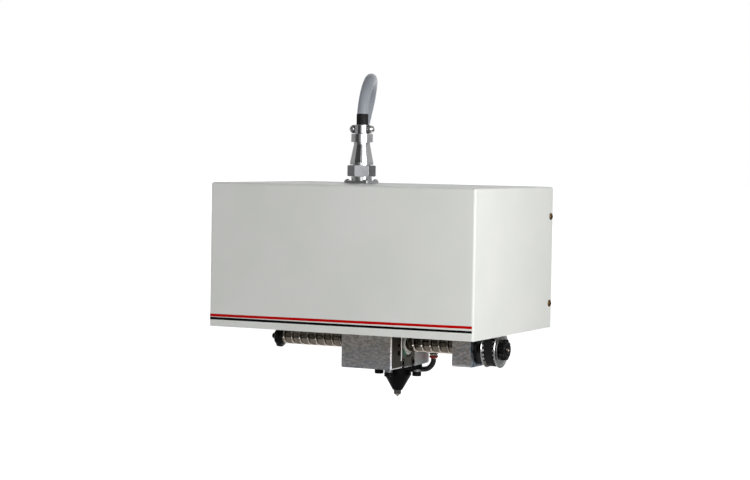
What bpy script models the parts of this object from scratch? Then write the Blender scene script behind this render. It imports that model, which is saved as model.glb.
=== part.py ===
# Scribing marking machine head: a covered two-axis ball-screw stage that carries a pneumatic scribing stylus
# Metres, +Z up. X runs along the long screw, +Y points out of the back at the column that holds the head.
# The origin is the centre of the mounting pad's face.
import math

import bmesh
import bpy
from mathutils import Matrix, Vector

# Clearances and overruns shared by every piece
GAP = 0.0003  # between faces that touch
OVERRUN = 0.002  # how far a cutter runs past what it cuts

# Cover, back plate and pad
COVER_WIDTH = 0.310
COVER_DEPTH = 0.213
COVER_HEIGHT = 0.155
SHEET = 0.0015
BEND_RADIUS = 0.0025
PLATE_THICKNESS = 0.012
PLATE_LIFT = 0.0015  # the back plate stops this far above the cover's lower edge
PLATE_CHAMFER = 0.0006
PAD_THICKNESS = 0.014
PAD_WIDTH = 0.076
PAD_HEIGHT = 0.120
PAD_CHAMFER = 0.001
PAD_HOLE_DIAMETER = 0.0068
PAD_HOLE_SPACING_X = 0.050
PAD_HOLE_SPACING_Z = 0.090
PAD_HOLE_DEPTH = 0.020
COVER_SCREW_HOLE = 0.0044
COVER_SCREW_TAP = 0.0034
COVER_SCREW_TAP_DEPTH = 0.012
COVER_SCREW_LOW = 0.0269
COVER_SCREW_HIGH = 0.1224

# Frame plate and its gussets
FRAME_DROP = 0.017  # from the cover's top to the frame plate's top
FRAME_THICKNESS = 0.010
FRAME_BESIDE_RAIL = 0.0455  # from a rail's middle to the frame plate's side edge
FRAME_FRONT_INSET = 0.006
FRAME_CHAMFER = 0.0008
GUSSET_THICKNESS = 0.008
GUSSET_HEIGHT = 0.062
GUSSET_LENGTH = 0.050
GUSSET_NOSE = 0.010
GUSSET_INSET = 0.0075  # from the frame plate's side edge

# Ball screws and their nuts
SCREW_DIAMETER = 0.016
SCREW_LEAD = 0.010
SCREW_GROOVE_WIDTH = 0.0034
SCREW_GROOVE_DEPTH = 0.0011
SCREW_JOURNAL = 0.012
SCREW_NOSE_JOURNAL = 0.010
SCREW_STUB = 0.0067
SCREW_DROP = 0.018  # below the cover's lower edge
SCREW_TO_BACK = 0.100  # in front of the cover's back edge
Y_SCREW_DIAMETER = 0.012
Y_SCREW_LEAD = 0.005
Y_GROOVE_WIDTH = 0.0026
Y_GROOVE_DEPTH = 0.0009
Y_JOURNAL = 0.008
THREAD_STEPS = 15  # facets round a thread
Y_THREAD_STEPS = 8

# What sits on the X screw, from its right end to the left
NOSE_INSET = 0.0079  # from the cover's right side to the screw's end
NOSE_LENGTH = 0.0018
LOCK_NUT_DIAMETER = 0.020
LOCK_NUT_LENGTH = 0.006
LOCK_NUT_SLOTS = 4
LOCK_NUT_SLOT_WIDTH = 0.004
LOCK_NUT_SLOT_DEPTH = 0.0018
PULLEY_LENGTH = 0.0165
SEAL_SPACE = 0.006
SEAL_DIAMETER = 0.034
SEAL_THICKNESS = 0.0027
BLOCK_THICKNESS = 0.0217
BLOCK_HALF_DEPTH = 0.023
BLOCK_DROP = 0.019
BLOCK_CHAMFER = 0.003
BEARING_DIAMETER = 0.028
BEARING_LENGTH = 0.016
STUB_INSET = 0.0159  # from the cover's left side to the screw's end
STUB_LENGTH = 0.0069
STUB_CHAMFER = 0.0008
STOP_RING_DIAMETER = 0.024
STOP_RING_LENGTH = 0.0064
STOP_RING_CHAMFER = 0.0008

# Toothed belt drive, T5 pitch
TOOTH_PITCH = 0.005
SCREW_PULLEY_TEETH = 22
MOTOR_PULLEY_TEETH = 16
TOOTH_DEPTH = 0.0019
TOOTH_TIP_DROP = 0.0004  # the tips lie this far inside the pitch circle
GROOVE_MOUTH_SHARE = 0.50  # of a pitch
GROOVE_FLOOR_SHARE = 0.34
FLANGE_THICKNESS = 0.0015
FLANGE_STEP = 0.0027  # flange radius above the tooth tips
BELT_WIDTH = 0.0096
BELT_BACKING = 0.00085
BELT_TOOTH_HEIGHT = 0.0012
BELT_TOOTH_TIP = 0.0018
BELT_TOOTH_ROOT = 0.0026
BELT_ARC_STEPS = 20
BELT_PLAIN_SHARE = 0.6  # toothless stretch at each end of a run, of the big pulley's radius

# Stepper motors
MOTOR_FACE = 0.0423
MOTOR_CORNER = 0.0045
MOTOR_CAP = 0.009
MOTOR_WAIST = 0.0008  # the laminations stand this far inside the end caps
X_MOTOR_LENGTH = 0.040
Y_MOTOR_LENGTH = 0.048
MOTOR_SHAFT = 0.005
MOTOR_SHAFT_DEPTH = 0.008
MOTOR_PILOT = 0.022
Y_MOTOR_BACK_GAP = 0.008
BRACKET_THICKNESS = 0.0055
BRACKET_FOOT = 0.003
BRACKET_CHAMFER = 0.0005
Y_BRACKET_THICKNESS = 0.006
Y_BRACKET_FOOT_LENGTH = 0.024
Y_BRACKET_WING = 0.016
COUPLING_DIAMETER = 0.019
COUPLING_LENGTH = 0.022
COUPLING_TO_BRACKET = 0.003
COUPLING_SLIT = 0.001
COUPLING_SLIT_STEP_SHARE = 0.14  # of its length
COUPLING_SLIT_REACH_SHARE = 0.28  # of its diameter, from the axis
COUPLING_CHAMFER = 0.0006

# Linear guides
X_GUIDE_HEIGHT = 0.016
X_SLIDER_HEIGHT = 0.012
X_SLIDER_WIDTH = 0.032
X_SLIDER_LENGTH = 0.0588
X_RAIL_HEIGHT = 0.0097
X_GUIDE_SPACING = 0.044
Y_GUIDE_HEIGHT = 0.028
Y_SLIDER_HEIGHT = 0.0237
Y_SLIDER_WIDTH = 0.034
Y_SLIDER_LENGTH = 0.0606
Y_RAIL_HEIGHT = 0.0147
Y_RAIL_FRONT_INSET = 0.010
Y_RAIL_LENGTH = 0.150
RAIL_WIDTH = 0.015
RAIL_FLANK = 0.0018  # depth of the groove in a rail's side
RAIL_GROOVE_SHARES = (0.30, 0.42, 0.58, 0.72)  # heights where it starts, is deep, and ends, of the rail's
RAIL_CORNER_SHARE = 0.08
SLIDER_TO_MOTOR = 0.002
SLIDER_CHAMFER = 0.0006

# Saddle, hangers and beam, which carry the X axis along Y
SADDLE_THICKNESS = 0.010
SADDLE_LENGTH = 0.060
SADDLE_TO_SCREW = 0.049  # from the X screw forward to the saddle's front
HANGER_THICKNESS = 0.008
HANGER_FRONT = 0.043
HANGER_BACK = 0.011
HANGER_WINDOW_SHARE = 0.5
BEAM_THICKNESS = 0.012
BEAM_HALF_DEPTH = 0.038
BEAM_TO_STUB = 0.002
BEAM_CHAMFER = 0.0008
Y_NUT_THICKNESS = 0.016
Y_NUT_FROM_FRONT = 0.022
Y_NUT_HALF_WIDTH = 0.018
Y_NUT_DIAMETER = 0.021
Y_NUT_FLANGE = 0.034
Y_NUT_FLANGE_LENGTH = 0.003
Y_SCREW_DROP = 0.016  # below the frame plate
Y_BEARING_LENGTH = 0.014
Y_BEARING_INSET = 0.008
Y_BEARING_HALF_WIDTH = 0.018
Y_BEARING_DROP_SHARE = 0.75  # of its half width, below the screw
Y_SCREW_END = 0.002
THREAD_TO_BEARING = 0.006
THREAD_TO_COUPLING = 0.001

# Carriage
CARRIAGE_WIDTH = 0.0604
CARRIAGE_X = -0.0008
CARRIAGE_DROP = 0.025  # from the screw's axis to the blocks' lower faces
CARRIAGE_BLOCK_HEIGHT = 0.044
CARRIAGE_PLATE_THICKNESS = 0.0077
CARRIAGE_CHAMFER = 0.0013
FRONT_BLOCK_DEPTH = 0.0254
FRONT_HOLE_DIAMETER = 0.0024
FRONT_HOLE_LARGE = 0.0048
FRONT_HOLE_DEPTH = 0.010
FRONT_HOLE_INSET = 0.0064  # forward of the front block's back face
FRONT_HOLE_DROP = 0.0084
NUT_BLOCK_DEPTH = 0.034
NUT_BODY_WALL = 0.006
NUT_BODY_GAP = 0.0004
NUT_FLANGE_DIAMETER = 0.048
NUT_FLANGE_LENGTH = 0.010
NUT_FLANGE_FLAT = 0.040
NUT_BORE_GAP = 0.0005
NUT_END_STEP = 0.0015
WIPER_WALL = 0.003
WIPER_LENGTH = 0.0030
CLAMP_SCREW_SPREAD = 0.0125
CLAMP_SCREW_DROP = 0.0202
CLAMP_SCREW_BORE = 0.011
CLAMP_SCREW_DEPTH = 0.0066
STYLUS_BLOCK_DEPTH = 0.038
STYLUS_BLOCK_EXTRA = 0.0005  # its lower face stands this far below its neighbours'
STYLUS_BLOCK_CHAMFER = 0.002

# Stylus unit
STYLUS_X = -0.0006
STYLUS_TO_SCREW = 0.037
STYLUS_BORE = 0.024
STYLUS_BORE_DEPTH = 0.026
PISTON_HEIGHT = 0.009
PISTON_TOP_SPACE = 0.0015
PISTON_GROOVE = 0.0012
ROD_DIAMETER = 0.0064
ROD_BORE_GAP = 0.0006
FLANGE_PLATE_THICKNESS = 0.0055
FLANGE_PLATE_SIDE = 0.0452  # of a square that stands on its corner, a screw in each
FLANGE_PLATE_CORNER = 0.007
FLANGE_SCREW_CIRCLE = 0.0464
FLANGE_SCREW_HOLE = 0.0055
FLANGE_SCREW_TURNS = (0, math.pi, math.pi * 1.5)  # right, left and front; the back corner is cut off
NECK_DIAMETER = 0.0300
NECK_HEIGHT = 0.0060
NOSE_TOP_DIAMETER = 0.0304
NOSE_RIM = 0.0006
NOSE_HEIGHT = 0.0179
NOSE_TIP_DIAMETER = 0.0106
TIP_DIAMETER = 0.0086
TIP_HEX_LENGTH = 0.0084
TIP_POINT_LENGTH = 0.0023
TIP_POINT_DIAMETER = 0.0011
TIP_INSIDE = 0.0034  # of the tip that hides in the nose
TIP_SIDES = 8
TIP_CONE_SHARES = (0.52, 0.80)  # the cone's radii above its point, of the tip's
TIP_CONE_DROP_SHARE = 0.35  # of the point's length
SPRING_WIRE = 0.0012
SPRING_DIAMETER = 0.0135
SPRING_CURLS = 4
SPRING_CURL_POINTS = 10

# Air valve, its fitting and tube
VALVE_WIDTH = 0.0163
VALVE_HALF_DEPTH = 0.0095
VALVE_Y = 0.0485  # behind the screw
VALVE_TOP = 0.015  # above the screw
VALVE_DROP = 0.009
VALVE_CHAMFER = 0.0012
FITTING_REACH = 0.0066  # from the carriage's side to the fitting's axis
FITTING_Y = 0.052
FITTING_BODY_DIAMETER = 0.0100
FITTING_BODY_HEIGHT = 0.0053
FITTING_RING_DIAMETER = 0.0084
FITTING_RING_HEIGHT = 0.0017
COLLAR_TOP_DIAMETER = 0.0102
COLLAR_LOW_DIAMETER = 0.0072
COLLAR_RIM = 0.0010
COLLAR_HEIGHT = 0.0029
TUBE_DIAMETER = 0.006
TUBE_BEND_STEPS = 5
PORT_DIAMETER = 0.0068
PORT_REACH = 0.0253
PORT_DROP = 0.0009  # of the port's axis below the flange plate
PORT_ANGLE = math.radians(27)

# Connector and plug on the cover
CONNECTOR_X = -0.0367
CONNECTOR_TO_BACK = 0.089
SOCKET_FLANGE = 0.030
SOCKET_FLANGE_THICKNESS = 0.003
SOCKET_FLANGE_CORNER = 0.003
SOCKET_BARREL = 0.0232
SOCKET_BARREL_HEIGHT = 0.0076  # above the cover
SOCKET_INSIDE = 0.0075  # below the cover's top sheet
PLUG_CORE = 0.0200
COUPLING_NUT_ACROSS = 0.0272  # across flats
COUPLING_NUT_HEIGHT = 0.0122
COUPLING_NUT_CHAMFER = 0.0012
COUPLING_NUT_TURN = math.radians(26.3)  # its corners, from the X axis
SHELL_BOTTOM_DIAMETER = 0.0262
SHELL_TOP_DIAMETER = 0.0182
SHELL_RIM = 0.0025
SHELL_HEIGHT = 0.0248
PLUG_COLLAR_DIAMETER = 0.0243
PLUG_COLLAR_HEIGHT = 0.0091
CLAMP_WIDTH = 0.0273
CLAMP_DEPTH = 0.0170
CLAMP_HEIGHT = 0.0098
CLAMP_EAR = 0.0075
CLAMP_NECK = 0.0105
CLAMP_LOBE_SHARE = 1.6  # where its round back starts, of the ears' angle
CLAMP_ARC_STEPS = 10
SLEEVE_DIAMETER = 0.0129
SLEEVE_ABOVE_CLAMP = 0.0101

# Control cord: where its free stretch runs and how its spare length is coiled behind the box
CORD_DIAMETER = 0.012
COIL_RADIUS = 0.074
COIL_STEP = 0.0126
COIL_LAYER = 0.0126
COIL_TURNS = 4
COIL_X = -0.145
COIL_Z = -0.0075
COIL_CLEARANCE = 0.001  # between the coil and the back plate
COIL_POINTS = 24  # on each loop
COIL_START = math.radians(10.3)
COIL_END_RUN = 0.018
COIL_CLIMB_TURNS = 0.5  # the cord moves to the outer layer over this share of a turn
FAR_PLUG_DIAMETER = 0.0262
FAR_PLUG_LENGTH = 0.056
FAR_PLUG_NECK = 0.018
FAR_PLUG_NECK_LENGTH = 0.020
FAR_PLUG_HEX_LENGTH = 0.012
FAR_PLUG_BORE = 0.018
FAR_PLUG_BORE_DEPTH = 0.002

# The cord's route from the sleeve's top to the coil, points in the head's own frame
CORD_ROUTE = (
    (-0.0367, -0.1030, 0.1534),
    (-0.0364, -0.1028, 0.1601),
    (-0.0363, -0.1008, 0.1679),
    (-0.0371, -0.0952, 0.1785),
    (-0.0394, -0.0855, 0.1875),
    (-0.0433, -0.0725, 0.1934),
    (-0.0487, -0.0575, 0.1952),
    (-0.0550, -0.0430, 0.1926),
    (-0.0616, -0.0305, 0.1851),
    (-0.0681, -0.0210, 0.1740),
    (-0.0742, -0.0150, 0.1604),
    (-0.0799, -0.0114, 0.1456),
    (-0.0840, -0.0092, 0.1294),
    (-0.0858, -0.0078, 0.1133),
    (-0.0857, -0.0072, 0.0948),
    (-0.0844, -0.0070, 0.0752),
    (-0.0817, -0.0070, 0.0545),
    (-0.0783, -0.0070, 0.0380),
)

# Round facets
FINE = 36
ROUND = 24
SMALL = 12
ROUTE_PARTS = 16  # steps between two points of a smooth route
SMOOTH_ANGLE = math.radians(30)

# Places worked out from the sizes above
BACK_Y = -PAD_THICKNESS
FRONT_Y = BACK_Y - COVER_DEPTH
PLATE_Y = BACK_Y - PLATE_THICKNESS
TOP_Z = COVER_HEIGHT / 2
BOTTOM_Z = -COVER_HEIGHT / 2
SIDE_X = COVER_WIDTH / 2
INNER_X = SIDE_X - SHEET - GAP
SCREW_Y = BACK_Y - SCREW_TO_BACK
SCREW_Z = BOTTOM_Z - SCREW_DROP

NOSE_X = SIDE_X - NOSE_INSET
LOCK_NUT_X1 = NOSE_X - NOSE_LENGTH
LOCK_NUT_X0 = LOCK_NUT_X1 - LOCK_NUT_LENGTH
PULLEY_X1 = LOCK_NUT_X0 - GAP
PULLEY_X0 = PULLEY_X1 - PULLEY_LENGTH
SEAL_X1 = PULLEY_X0 - SEAL_SPACE
SEAL_X0 = SEAL_X1 - SEAL_THICKNESS
BLOCK_X1 = SEAL_X0 - GAP
BLOCK_X0 = BLOCK_X1 - BLOCK_THICKNESS
STUB_X = -SIDE_X + STUB_INSET
STOP_X0 = STUB_X + STUB_LENGTH
STOP_X1 = STOP_X0 + STOP_RING_LENGTH

CARRIAGE_X0 = CARRIAGE_X - CARRIAGE_WIDTH / 2
CARRIAGE_X1 = CARRIAGE_X + CARRIAGE_WIDTH / 2
CARRIAGE_Z0 = SCREW_Z - CARRIAGE_DROP
CARRIAGE_Z1 = CARRIAGE_Z0 + CARRIAGE_BLOCK_HEIGHT
NUT_BLOCK_Y0 = SCREW_Y - NUT_BLOCK_DEPTH / 2
NUT_BLOCK_Y1 = SCREW_Y + NUT_BLOCK_DEPTH / 2
FRONT_BLOCK_Y1 = NUT_BLOCK_Y0 - GAP
FRONT_BLOCK_Y0 = FRONT_BLOCK_Y1 - FRONT_BLOCK_DEPTH
STYLUS_BLOCK_Y0 = NUT_BLOCK_Y1 + GAP
STYLUS_BLOCK_Y1 = STYLUS_BLOCK_Y0 + STYLUS_BLOCK_DEPTH
STYLUS_BLOCK_Z0 = CARRIAGE_Z0 - STYLUS_BLOCK_EXTRA
CARRIAGE_PLATE_Z0 = CARRIAGE_Z1 + GAP
CARRIAGE_PLATE_Z1 = CARRIAGE_PLATE_Z0 + CARRIAGE_PLATE_THICKNESS
BEAM_Z0 = CARRIAGE_PLATE_Z1 + X_GUIDE_HEIGHT
BEAM_Z1 = BEAM_Z0 + BEAM_THICKNESS
BEAM_X0 = STUB_X + BEAM_TO_STUB

FRAME_Z1 = TOP_Z - FRAME_DROP
FRAME_Z0 = FRAME_Z1 - FRAME_THICKNESS
FRAME_Y0 = FRONT_Y + FRAME_FRONT_INSET
SADDLE_Z1 = FRAME_Z0 - Y_GUIDE_HEIGHT
SADDLE_Z0 = SADDLE_Z1 - SADDLE_THICKNESS
SADDLE_Y0 = SCREW_Y - SADDLE_TO_SCREW
SADDLE_Y1 = SADDLE_Y0 + SADDLE_LENGTH
MOTOR_X0 = BLOCK_X1 - X_MOTOR_LENGTH
RAIL_X = MOTOR_X0 - SLIDER_TO_MOTOR - Y_SLIDER_WIDTH / 2
FRAME_HALF_WIDTH = RAIL_X + FRAME_BESIDE_RAIL
Y_SCREW_Z = FRAME_Z0 - Y_SCREW_DROP
Y_MOTOR_Y1 = PLATE_Y - Y_MOTOR_BACK_GAP
Y_MOTOR_Y0 = Y_MOTOR_Y1 - Y_MOTOR_LENGTH
Y_BRACKET_Y1 = Y_MOTOR_Y0 - GAP
Y_BRACKET_Y0 = Y_BRACKET_Y1 - Y_BRACKET_THICKNESS
COUPLING_Y1 = Y_BRACKET_Y0 - COUPLING_TO_BRACKET
COUPLING_Y0 = COUPLING_Y1 - COUPLING_LENGTH
COUPLING_MIDDLE = (COUPLING_Y0 + COUPLING_Y1) / 2
Y_BEARING_Y0 = FRONT_Y + Y_BEARING_INSET
Y_BEARING_Y1 = Y_BEARING_Y0 + Y_BEARING_LENGTH
Y_NUT_Y0 = SADDLE_Y0 + Y_NUT_FROM_FRONT
Y_NUT_Y1 = Y_NUT_Y0 + Y_NUT_THICKNESS

SCREW_PULLEY_PITCH_RADIUS = SCREW_PULLEY_TEETH * TOOTH_PITCH / (2 * math.pi)
MOTOR_PULLEY_PITCH_RADIUS = MOTOR_PULLEY_TEETH * TOOTH_PITCH / (2 * math.pi)

STYLUS_Y = SCREW_Y + STYLUS_TO_SCREW
FLANGE_Z1 = STYLUS_BLOCK_Z0 - GAP
FLANGE_Z0 = FLANGE_Z1 - FLANGE_PLATE_THICKNESS
NECK_Z0 = FLANGE_Z0 - NECK_HEIGHT
NOSE_Z1 = NECK_Z0 - GAP
NOSE_Z0 = NOSE_Z1 - NOSE_HEIGHT
PISTON_Z1 = STYLUS_BLOCK_Z0 + STYLUS_BORE_DEPTH - PISTON_TOP_SPACE
PISTON_Z0 = PISTON_Z1 - PISTON_HEIGHT
TIP_Z1 = NOSE_Z0 + TIP_INSIDE
CONNECTOR_Y = BACK_Y - CONNECTOR_TO_BACK


def belt_run(distance):
    """The belt's length round both pulleys when their axes are this far apart."""
    turn = math.pi * (SCREW_PULLEY_PITCH_RADIUS + MOTOR_PULLEY_PITCH_RADIUS)
    return 2 * distance + turn + (SCREW_PULLEY_PITCH_RADIUS - MOTOR_PULLEY_PITCH_RADIUS) ** 2 / distance


def axis_distance(length):
    """The axes' distance that takes up a belt of this length."""
    low, high = 0.0, length
    while high - low > GAP * GAP:
        middle = (low + high) / 2
        if belt_run(middle) < length:
            low = middle
        else:
            high = middle
    return low


LOWEST_MOTOR_Z = BEAM_Z1 + GAP + BRACKET_FOOT + GAP + MOTOR_FACE / 2
BELT_TEETH = math.ceil(belt_run(LOWEST_MOTOR_Z - SCREW_Z) / TOOTH_PITCH)
BELT_CENTRES = axis_distance(BELT_TEETH * TOOTH_PITCH)
MOTOR_Z = SCREW_Z + BELT_CENTRES

# Colours as they look, with roughness and metallic value
WHITE_ENAMEL = ((0.86, 0.87, 0.85), 0.42, 0.0)
CLEAR_ALUMINIUM = ((0.72, 0.73, 0.74), 0.38, 1.0)
BRUSHED_ALUMINIUM = ((0.60, 0.60, 0.60), 0.34, 1.0)
GROUND_STEEL = ((0.52, 0.52, 0.52), 0.24, 1.0)
BLACK_OXIDE = ((0.045, 0.045, 0.05), 0.42, 0.6)
BLACK_ANODISED = ((0.03, 0.03, 0.033), 0.35, 0.3)
BLACK_RUBBER = ((0.022, 0.022, 0.024), 0.62, 0.0)
BLACK_PLASTIC = ((0.03, 0.03, 0.03), 0.45, 0.0)
WHITE_PLASTIC = ((0.83, 0.83, 0.80), 0.45, 0.0)
RED_PLASTIC = ((0.62, 0.03, 0.03), 0.35, 0.0)
NICKEL_PLATE = ((0.70, 0.70, 0.71), 0.22, 1.0)
GREY_PVC = ((0.30, 0.32, 0.34), 0.30, 0.0)


def clear_scene():
    """Leave nothing of an older model behind."""
    for old in list(bpy.data.objects):
        bpy.data.objects.remove(old, do_unlink=True)


def carrier(name, at, parent=None):
    """An empty on a joint's axis, which carries the pieces that move with it."""
    empty = bpy.data.objects.new(name, None)
    bpy.context.scene.collection.objects.link(empty)
    empty.parent = parent
    empty.location = Vector(at) - Vector(parent["place"] if parent else (0, 0, 0))
    empty["place"] = Vector(at)
    return empty


def finish_of(name, look):
    """A material of one colour for one piece."""
    colour, roughness, metallic = look
    material = bpy.data.materials.new(name + "_finish")
    material.use_nodes = True
    shader = material.node_tree.nodes["Principled BSDF"]
    shader.inputs["Base Color"].default_value = (*colour, 1.0)
    shader.inputs["Roughness"].default_value = roughness
    shader.inputs["Metallic"].default_value = metallic
    return material


def piece(name, mesh, on, at=(0, 0, 0), look=None, turn=(0, 0, 0), smooth=True):
    """Link a mesh as an object, carried by an empty, at a place of the head's frame."""
    if isinstance(mesh, bmesh.types.BMesh):
        bmesh.ops.recalc_face_normals(mesh, faces=mesh.faces)
        if all(edge.is_manifold for edge in mesh.edges) and mesh.calc_volume(signed=True) < 0:
            bmesh.ops.reverse_faces(mesh, faces=mesh.faces)
        data = bpy.data.meshes.new(name)
        mesh.to_mesh(data)
        mesh.free()
    else:
        data = mesh
    if smooth:
        data.shade_smooth()
        data.set_sharp_from_angle(angle=SMOOTH_ANGLE)
    obj = bpy.data.objects.new(name, data)
    bpy.context.scene.collection.objects.link(obj)
    obj.parent = on
    obj.location = Vector(at) - Vector(on["place"])
    obj.rotation_euler = turn
    if look:
        data.materials.append(finish_of(name, look))
    return obj


def tool(name, mesh, on, at=(0, 0, 0), turn=(0, 0, 0)):
    """A cutter or a joined shape, which isn't a piece of its own."""
    obj = piece(name, mesh, on, at, turn=turn)
    obj.hide_render = True
    obj.display_type = "WIRE"
    return obj


def combine(obj, other, operation):
    """A live Boolean on the piece."""
    boolean = obj.modifiers.new(other.name, "BOOLEAN")
    boolean.operation = operation
    boolean.solver = "EXACT"
    boolean.object = other


def cut(obj, *cutters):
    for cutter in cutters:
        combine(obj, cutter, "DIFFERENCE")


def join(obj, *extras):
    for extra in extras:
        combine(obj, extra, "UNION")


def box(size, chamfer=0.0, steps=1, edges=None):
    """A block about its own centre, with its edges broken where the test says so."""
    mesh = bmesh.new()
    bmesh.ops.create_cube(mesh, size=1.0, matrix=Matrix.Diagonal((*size, 1.0)))
    if chamfer:
        chosen = [edge for edge in mesh.edges if edges is None or edges(edge)]
        bmesh.ops.bevel(mesh, geom=chosen, offset=chamfer, segments=steps, affect="EDGES", profile=0.5)
    return mesh


def along(axis):
    """A test for edges that run along one axis."""
    def test(edge):
        run = edge.verts[0].co - edge.verts[1].co
        return abs(run[axis]) > abs(run[(axis + 1) % 3]) + abs(run[(axis + 2) % 3])
    return test


def span(name, low, high, on, look=None, chamfer=0.0, steps=1, edges=None, cutter=False):
    """A block between two corners of the head's frame."""
    low, high = Vector(low), Vector(high)
    mesh = box(high - low, chamfer, steps, edges)
    if cutter:
        return tool(name, mesh, on, (low + high) / 2)
    return piece(name, mesh, on, (low + high) / 2, look)


def turned(profile, steps=ROUND):
    """A solid of revolution about Z from (radius, height) points, up its outside from axis to axis.

    A ring's profile starts and ends off the axis, and its last point joins the first."""
    mesh = bmesh.new()
    rings = []
    for radius, height in profile:
        if radius == 0:
            rings.append([mesh.verts.new((0, 0, height))])
        else:
            angles = [2 * math.pi * step / steps for step in range(steps)]
            points = [(radius * math.cos(a), radius * math.sin(a), height) for a in angles]
            rings.append([mesh.verts.new(point) for point in points])
    pairs = list(zip(rings, rings[1:]))
    if len(rings[0]) > 1 and len(rings[-1]) > 1:
        pairs.append((rings[-1], rings[0]))
    for lower, upper in pairs:
        for step in range(steps):
            after = (step + 1) % steps
            corners = [lower[step % len(lower)], lower[after % len(lower)],
                       upper[after % len(upper)], upper[step % len(upper)]]
            corners = [c for index, c in enumerate(corners) if c not in corners[:index]]
            mesh.faces.new(corners)
    return mesh


def rod(radius, length, steps=ROUND, chamfer=0.0):
    """A round bar about Z, centred on its middle."""
    half = length / 2
    if chamfer:
        return turned([(0, -half), (radius - chamfer, -half), (radius, -half + chamfer),
                       (radius, half - chamfer), (radius - chamfer, half), (0, half)], steps)
    return turned([(0, -half), (radius, -half), (radius, half), (0, half)], steps)


TO_X = (0, math.pi / 2, 0)
TO_Y = (-math.pi / 2, 0, 0)


def hole(name, radius, low, high, on, steps=SMALL, axis="Z"):
    """A round cutter between two points along one axis."""
    low, high = Vector(low), Vector(high)
    turn = {"X": TO_X, "Y": TO_Y, "Z": (0, 0, 0)}[axis]
    return tool(name, rod(radius, (high - low).length, steps), on, (low + high) / 2, turn)


def extruded(outline, length):
    """An outline in X and Y, given counter-clockwise, drawn out along Z about its middle."""
    mesh = bmesh.new()
    base = [mesh.verts.new((x, y, -length / 2)) for x, y in outline]
    face = mesh.faces.new(base)
    out = bmesh.ops.extrude_face_region(mesh, geom=[face])
    moved = [item for item in out["geom"] if isinstance(item, bmesh.types.BMVert)]
    bmesh.ops.translate(mesh, vec=(0, 0, length), verts=moved)
    return mesh


def arc(centre, radius, start, end, steps):
    """Points on a round stretch of an outline, both ends included."""
    points = []
    for step in range(steps + 1):
        angle = start + (end - start) * step / steps
        points.append((centre[0] + radius * math.cos(angle), centre[1] + radius * math.sin(angle)))
    return points


def rounded_rectangle(width, depth, corner, steps=4):
    """The outline of a plate with round corners."""
    quarter = math.pi / 2
    points = []
    for turn, (sx, sy) in enumerate(((1, 1), (-1, 1), (-1, -1), (1, -1))):
        centre = (sx * (width / 2 - corner), sy * (depth / 2 - corner))
        points += arc(centre, corner, turn * quarter, (turn + 1) * quarter, steps)
    return points


def thread(length, radius, lead, groove_width, groove_depth, steps):
    """A bar along Z, centred on its middle, with one right-handed ball groove wound round it.

    Each row of the surface follows the helix, so the groove's edges are clean lines."""
    floor_width = groove_width / 2
    floor_start = (groove_width - floor_width) / 2
    across = (
        (0, radius),
        (floor_start, radius - groove_depth),
        (floor_start + floor_width, radius - groove_depth),
        (groove_width, radius),
    )
    turns = math.ceil(length / lead) + 2
    columns = turns * steps
    start = -turns * lead / 2
    mesh = bmesh.new()
    grid = []
    for column in range(columns + 1):
        angle = 2 * math.pi * column / steps
        climb = start + lead * column / steps
        points = [(r * math.cos(angle), r * math.sin(angle), climb + z) for z, r in across]
        grid.append([mesh.verts.new(point) for point in points])
    last = []
    for column in range(columns, columns + steps + 1):
        if column == columns:
            continue
        angle = 2 * math.pi * column / steps
        climb = start + lead * column / steps
        last.append(mesh.verts.new((radius * math.cos(angle), radius * math.sin(angle), climb)))

    def edge_of(column):
        return grid[column][0] if column <= columns else last[column - columns - 1]

    for column in range(columns):
        here, there = grid[column], grid[column + 1]
        for row in range(len(across) - 1):
            mesh.faces.new((here[row], there[row], there[row + 1], here[row + 1]))
        mesh.faces.new((here[-1], there[-1], edge_of(column + 1 + steps), edge_of(column + steps)))
    foot = mesh.verts.new((0, 0, start - lead))
    head = mesh.verts.new((0, 0, start + (turns + 2) * lead))
    bottom = [edge_of(column) for column in range(steps, -1, -1)] + grid[0][1:]
    top = [edge_of(column) for column in range(columns, columns + steps + 1)] + grid[columns][:0:-1]
    for ring, tip in ((bottom, foot), (top, head)):
        for index, corner in enumerate(ring):
            mesh.faces.new((corner, ring[(index + 1) % len(ring)], tip))
    return mesh


def pulley_outline(teeth):
    """A toothed pulley's section: straight-sided grooves between lands."""
    pitch_angle = 2 * math.pi / teeth
    tip = teeth * TOOTH_PITCH / (2 * math.pi) - TOOTH_TIP_DROP
    floor = tip - TOOTH_DEPTH
    mouth = pitch_angle * GROOVE_MOUTH_SHARE / 2
    bed = pitch_angle * GROOVE_FLOOR_SHARE / 2
    points = []
    for tooth in range(teeth):
        middle = tooth * pitch_angle
        for angle, radius in ((-mouth, tip), (-bed, floor), (bed, floor), (mouth, tip)):
            points.append((radius * math.cos(middle + angle), radius * math.sin(middle + angle)))
    return points


def tip_radius(teeth):
    return teeth * TOOTH_PITCH / (2 * math.pi) - TOOTH_TIP_DROP


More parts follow.
